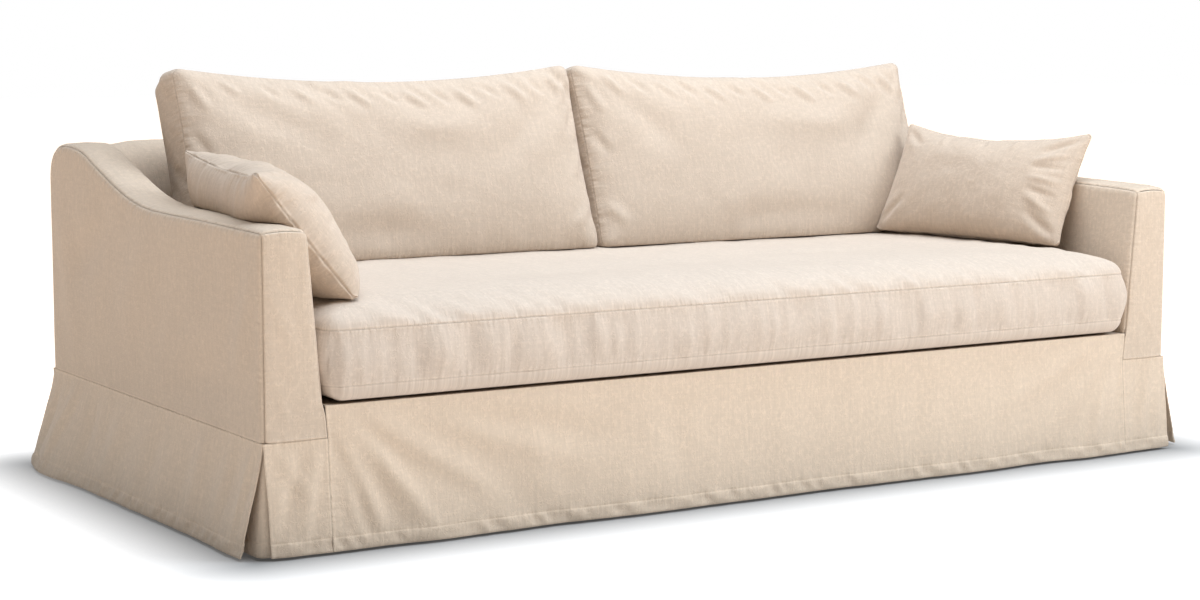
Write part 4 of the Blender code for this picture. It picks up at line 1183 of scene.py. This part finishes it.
def back_cushion(s, label):
    b = BACKS
    hx, hz = b["half"] - .003, b["rise"] / 2 - .003
    lean = math.radians(b["lean"])
    def rise(t):
        return (1 - (1 - np.clip(t / .20, 0, 1)) ** 2.5) ** .66

    table = arc_table(lambda t: .055 * rise(t))
    X, H, d = rounded_grid(hx, hz, .022, .0062, .0064, table)
    rows, cols = X.shape
    ds = smooth_edge(hx - np.abs(X), hz - np.abs(H), 3.0)
    ds = rim_edge(hx - np.abs(X), hz - np.abs(H), .022, ds)
    f = np.where(d < 1e-6, 0, rise(ds))
    d = np.interp(d, *table)
    middle = s * (b["half"] + .0025)

    def place(x, h, n):
        k = 1 - (x / b["half"]) ** 2
        h = h - np.where(h > 0, b["dip"] * k * h / (b["rise"] / 2), 0)
        x = x * (1 - .012 * (1 - (h / (b["rise"] / 2)) ** 2))
        up = h + b["rise"] / 2
        y = b["foot_y"] + up * math.sin(lean) - n * math.cos(lean)
        z = b["foot_z"] + up * math.cos(lean) + n * math.sin(lean)
        return np.stack([middle + x, y, z], -1)

    front = place(X, H, b["front_crown"] * f)
    rear = place(X, H, -b["boxing"] - b["back_crown"] * f)
    ring = border(rows, cols)
    rx, rh = X.ravel()[ring], H.ravel()[ring]
    ahead = np.stack([np.roll(rx, -1) - np.roll(rx, 1), np.roll(rh, -1) - np.roll(rh, 1)], 1)
    nrm = np.stack([ahead[:, 1], -ahead[:, 0]], 1)
    nrm /= np.maximum(1e-9, np.linalg.norm(nrm, axis=1, keepdims=True))
    a = along_ring(np.stack([rx, rh], 1))
    deep = spread(b["boxing"], E, E, .008)[1:-1]
    belt, cl_b, sm_b, lf_b = [], [], [], []
    seed = 300 if s < 0 else 340
    for dz in deep:
        w = math.sin(math.pi * dz / b["boxing"])
        o = .0085 * w ** .8 + w * (.0024 * noise2(a, np.full(len(a), dz * .6), .050, seed)
                                   + .0026 * noise2(a + dz * .9, np.full(len(a), dz * .4),
                                                    .030, seed + 1))
        belt.append(place(rx + nrm[:, 0] * o, rh + nrm[:, 1] * o, -dz))
        dd = min(dz, b["boxing"] - dz)
        cl_b.append(np.c_[a, np.full(len(a), dz)])
        sm_b.append(np.c_[np.full(len(a), dd), a, np.full(len(a), 1.0)])
        lf_b.append(welt(dd) + 0 * a)
    side = (hz - np.abs(H)) - (hx - np.abs(X))
    calm = smooth(.0, .03, np.abs(side))
    tang = np.where(side < 0, X, H + 5)
    fs = np.c_[d.ravel(), tang.ravel(), calm.ravel()]
    front_l = welt(d) + pinned(d, reach=.010) * (
        .0030 * lumps(X, H, .20, seed + 5) + .0008 * lumps(X, H, .06, seed + 6)
        + 1.5 * creases(X, H, GATHERS[label]))
    top_edge = smooth(.05, .12, H) * smooth(-.45, -.10, X)
    front_l += (1 - np.exp(-(d / .010) ** 2)) * (
        calm * np.exp(-d / .020) * .0014 * noise2(tang, d * .3, .018, seed + 7)
        + np.exp(-d / .070) * top_edge * .0066 * noise2(X + .75 * H, H * .20, .030, seed + 8)
        + calm * np.exp(-d / .050) * (1 - top_edge) * .0026 * noise2(tang, d * .2, .034, seed + 11))
    rear_l = welt(d) + pinned(d, reach=.02) * (
        .004 * lumps(X, H, .20, seed + 9) + .0012 * lumps(X, H, .06, seed + 10))

    def clamp(V):
        z = softmax(V[:, 2], SEAT["upper_seam"] + SEAT["crown"] + .0015, .006)
        y = softmin(V[:, 1], back_in(np.minimum(z, .70)) - .006, .010)
        return np.stack([V[:, 0], y, z], 1)

    cl = np.vstack([np.c_[X.ravel(), H.ravel()]] + cl_b + [np.c_[X.ravel(), H.ravel()]])
    sm = np.vstack([fs] + sm_b + [fs])
    lf = np.concatenate([front_l.ravel()] + lf_b + [rear_l.ravel()])
    return boxed("back_cushion_" + label, "back_cushion_" + label, "back_cloth", front,
                 np.array(belt), rear, cl, sm, lf, clamp=clamp)


PILLOW_CREASES = {  # along the pillow from its middle and up it
    "left": [
        ([(-.27, .14), (-.20, .09)], .010, -.0040), ([(.27, .14), (.19, .09)], .010, -.0040),
        ([(-.27, -.14), (-.20, -.09)], .010, -.0036), ([(.27, -.14), (.20, -.08)], .011, -.0040),
        ([(-.18, .145), (-.16, .09)], .008, .0022), ([(-.08, .145), (-.06, .085)], .008, -.0024),
        ([(.02, .145), (.03, .090)], .008, .0022), ([(.12, .145), (.12, .085)], .008, -.0024),
        ([(.20, .148), (.18, .095)], .008, .0022), ([(.265, .05), (.20, .03)], .009, .0026),
        ([(.265, -.03), (.20, -.03)], .009, -.0024), ([(-.265, .03), (-.20, .02)], .009, .0026),
        ([(-.08, .02), (.02, .06), (.10, .03)], .030, -.0030),
        ([(-.14, -.08), (.00, -.05), (.12, -.09)], .028, .0030)],
    "right": [
        ([(.25, .13), (.17, .08)], .010, -.0042), ([(-.25, .13), (-.18, .08)], .010, -.0036),
        ([(.25, -.13), (.17, -.08)], .011, -.0044), ([(-.25, -.13), (-.18, -.07)], .010, -.0036),
        ([(.245, .08), (.16, .05)], .008, .0028), ([(.248, .04), (.16, .03)], .008, -.0026),
        ([(.250, .00), (.16, .00)], .008, .0028), ([(.248, -.04), (.16, -.03)], .008, -.0026),
        ([(.245, -.08), (.17, -.05)], .008, .0028), ([(-.12, .135), (-.11, .08)], .008, .0022),
        ([(.00, .135), (.01, .08)], .008, -.0024), ([(.10, .135), (.09, .08)], .008, .0022),
        ([(-.20, -.02), (-.05, .03), (.08, -.02)], .034, -.0016)],
}


def pillow(row):
    p, s, label = PILLOW, row["side"], row["label"]
    run, lean, tip = (math.radians(row[k]) for k in ("run", "lean", "tip"))
    e = np.array([math.sin(run), -math.cos(run), 0.0])
    out = np.array([math.cos(run), math.sin(run), 0.0])
    up = np.array([0, 0, 1.0]) * math.cos(lean) + out * math.sin(lean)
    e, up = (e * math.cos(tip) + up * math.sin(tip), up * math.cos(tip) - e * math.sin(tip))
    face = np.cross(e, up)
    if face[0] > 0:
        face = -face
    base = np.array([row["x"], row["y"], row["z"]])
    hw, hh = row["width"] / 2, row["height"] / 2
    table = arc_table(lambda t: .075 * (1 - (1 - np.clip(t / hh, 0, 1)) ** 2) ** .55)
    A, H, d = rounded_grid(hw, hh, .013, .0056, .0056, table)
    rows, cols = A.shape
    ka = 1 - np.abs(A / hw) ** (2 + 1.6 * smooth(-.2, .8, A / hw) * (s < 0))
    kh = 1 - (H / hh) ** 2
    da, dh = hw - np.abs(A), hh - np.abs(H)

    def side_of(front):
        full = row["front" if front > 0 else "rear"] * (
            1.0 if front > 0 else 1.65 + .75 * smooth(.1, -.9, A / hw) * (s < 0))
        low = smooth(.3, -.8, H / hh)
        fill = full * np.maximum(0, ka) ** .52 * np.maximum(0, kh) ** (
            .56 - (.28 if s < 0 and front > 0 else .14) * low)
        fill = np.where(d < 1e-6, 0, fill)
        a2 = A * (1 - .6 * p["draw"] / hw * kh)
        h2 = H * (1 - row["dip"] / hh * ka * (1 - .9 * low))
        return (base + e * (a2 + hw)[..., None] + up * (h2 + hh)[..., None]
                + face * (front * fill)[..., None])

    def clamp(V):
        V = V.copy()
        V[:, 2] = softmax(V[:, 2], seat_top(V[:, 0], V[:, 1]) + .002, .008)
        top = arm_top(V[:, 1], label) + .005
        wall = arm_in(V[:, 1], np.minimum(V[:, 2], top), label) - .004
        deep_x, deep_z = V[:, 0] - wall, top - V[:, 2]
        inside = (deep_x > 0) & (deep_z > 0)
        share = smooth(.7, 1.4, deep_x / np.maximum(1e-6, deep_z))
        V[:, 0] -= np.where(inside, deep_x * (1 - share), 0)
        V[:, 2] += np.where(inside, deep_z * share, 0)
        V[:, 0] *= s
        return V

    seed = 400 if s < 0 else 440
    tang = np.where(dh < da, A, H + 5)
    calm = smooth(.0, .03, np.abs(dh - da)) * row["pull"]
    d = np.interp(d, *table)
    lf_f = welt(d, .9, .5) + pinned(d, reach=.010) * (
        (.0012 + .0022 * row["pull"]) * lumps(A, H, .12, seed)
        + .0008 * lumps(A, H, .04, seed + 1)
        + 1.7 * creases(A, H, PILLOW_CREASES[label]))
    lf_f += calm * np.exp(-d / .035) * .0034 * noise2(tang, d * .2, .024, seed + 3) * (
        1 - np.exp(-(d / .004) ** 2))
    lf_r = welt(d, .9, .5) + pinned(d, reach=.010) * (
        .0030 * lumps(A, H, .12, seed + 5))
    lf_r += calm * np.exp(-d / .050) * .0046 * noise2(tang, d * .16, .024, seed + 6) * (
        1 - np.exp(-(d / .004) ** 2))
    cl = np.c_[A.ravel(), H.ravel()]
    sm = np.c_[d.ravel(), tang.ravel(), calm.ravel()]
    front, rear = side_of(1), side_of(-1)
    # the two faces share their border
    k = rows * cols
    ring = border(rows, cols)
    V = np.vstack([front.reshape(-1, 3), rear.reshape(-1, 3)])
    keep = np.ones(2 * k, bool)
    keep[k + ring] = False
    new = np.cumsum(keep) - 1
    new[k + ring] = ring
    faces = [grid_faces(rows, cols), new[grid_faces(rows, cols, k, True)]]
    V = V[keep]
    cl2, sm2 = np.vstack([cl, cl])[keep], np.vstack([sm, sm])[keep]
    lf = np.concatenate([lf_f.ravel(), lf_r.ravel()])[keep]
    n = vertex_normals(V, faces)
    if (n * (V - V.mean(0))).sum() < 0:
        faces = [f[:, ::-1] for f in faces]
        n = -n
    V = clamp(V + n * lf[:, None])
    if s < 0:
        faces = [f[:, ::-1] for f in faces]
    ob = mesh_object("pillow_" + label, V, faces, cl2, sm2, "pillow_cloth")
    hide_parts("pillow_" + label)
    return ob


# ------------------------------------------------------------ assembly
for s, label in ((-1, "left"), (1, "right")):
    for make in (outer_arm, arm_band, arm_front, inner_arm, skirt_front, skirt_side):
        ob = make(s, label)
        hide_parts(ob.name.split(".")[0])
    for e, where in ((-1, "front_"), (1, "back_")):
        ob = underlay(s, e, where + label)
        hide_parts(ob.name.split(".")[0])
    back_cushion(s, label)
for make in (inside_back, outside_back, seat_deck, front_panel, skirt_back):
    ob = make()
    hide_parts(ob.name.split(".")[0])
seat_cushion()
for row in PILLOWS:
    pillow(row)

# ------------------------------------------------------------ stage and light
bpy.ops.mesh.primitive_plane_add(size=60, location=(0, 0, -.006))
floor = bpy.context.object
floor.name = "floor"
fm = bpy.data.materials.new("studio_floor_painted_light")
fm.use_nodes = True
nt = fm.node_tree
bsdf = nt.nodes["Principled BSDF"]
bsdf.inputs["Base Color"].default_value = (.34, .34, .34, 1)
bsdf.inputs["Roughness"].default_value = 1.0
bsdf.inputs["Specular IOR Level"].default_value = 0.0
geo = nt.nodes.new("ShaderNodeNewGeometry")
sep = nt.nodes.new("ShaderNodeSeparateXYZ")
nt.links.new(geo.outputs["Position"], sep.inputs[0])


def fmath(op, a, b=0.0):
    n = nt.nodes.new("ShaderNodeMath")
    n.operation = op
    for sock, v in ((n.inputs[0], a), (n.inputs[1], b)):
        if isinstance(v, bpy.types.NodeSocket):
            nt.links.new(v, sock)
        else:
            sock.default_value = v
    return n.outputs[0]


# the floor glows: within about .23 m of the sofa's footprint its glow is dimmed as a painted contact
# shadow, beside the real shadow on its grey base; further out the glow turns warm and lights the cloth as
# a painted warm fill
gx = fmath("MAXIMUM", fmath("SUBTRACT", fmath("ABSOLUTE", sep.outputs[0]), 1.17), 0.0)
gy = fmath("MAXIMUM", fmath("SUBTRACT", fmath("ABSOLUTE", sep.outputs[1]), .60), 0.0)
far = fmath("SQRT", fmath("ADD", fmath("MULTIPLY", gx, gx), fmath("MULTIPLY", gy, gy)))
near = fmath("POWER", fmath("MINIMUM", fmath("DIVIDE", far, .228), 1.0), 1.05)
glow_with_painted_shadow = fmath("ADD", fmath("MULTIPLY", near, .95), .05)
painted_warm_fill = fmath("DIVIDE", fmath("SUBTRACT", far, .26), .30)
painted_warm_fill = fmath("MINIMUM", fmath("MAXIMUM", painted_warm_fill, 0.0), 1.0)
tint = nt.nodes.new("ShaderNodeCombineXYZ")
for socket, most in zip(tint.inputs, (.34, .16, .02)):
    nt.links.new(fmath("ADD", glow_with_painted_shadow, fmath("MULTIPLY", painted_warm_fill, most)), socket)
nt.links.new(tint.outputs[0], bsdf.inputs["Emission Color"])
bsdf.inputs["Emission Strength"].default_value = 1.0
floor.data.materials.append(fm)

world = bpy.data.worlds.new("studio")
bpy.context.scene.world = world
world.use_nodes = True
wn = world.node_tree
bg = wn.nodes["Background"]
bg.inputs[0].default_value = (1.0, .87, .71, 1)
bg.inputs[1].default_value = .09
white = wn.nodes.new("ShaderNodeBackground")
white.inputs[0].default_value = (1, 1, 1, 1)
white.inputs[1].default_value = 1.0
mix = wn.nodes.new("ShaderNodeMixShader")
path = wn.nodes.new("ShaderNodeLightPath")
wn.links.new(path.outputs["Is Camera Ray"], mix.inputs[0])
wn.links.new(bg.outputs[0], mix.inputs[1])
wn.links.new(white.outputs[0], mix.inputs[2])
wn.links.new(mix.outputs[0], wn.nodes["World Output"].inputs[0])


def area(name, at, to, size, power, colour):
    lamp = bpy.data.lights.new(name, "AREA")
    lamp.shape = "SQUARE"
    lamp.size = size
    lamp.energy = power
    lamp.color = colour
    ob = bpy.data.objects.new(name, lamp)
    bpy.context.scene.collection.objects.link(ob)
    ob.location = at
    ob.rotation_euler = (Vector(to) - Vector(at)).to_track_quat("-Z", "Y").to_euler()
    ob.visible_camera = False
    return ob


area("key", (2.5, -3.0, 2.8), (0.0, -.1, .4), 1.9, 102, (.87, .94, 1.0))
area("overhead", (-.1, -.5, 3.3), (-.1, -.05, .4), 3.8, 166, (.86, .925, 1.0))

view = bpy.context.scene.view_settings
view.view_transform = "Standard"
view.look = "None"
view.exposure = 0.0
view.gamma = 1.0
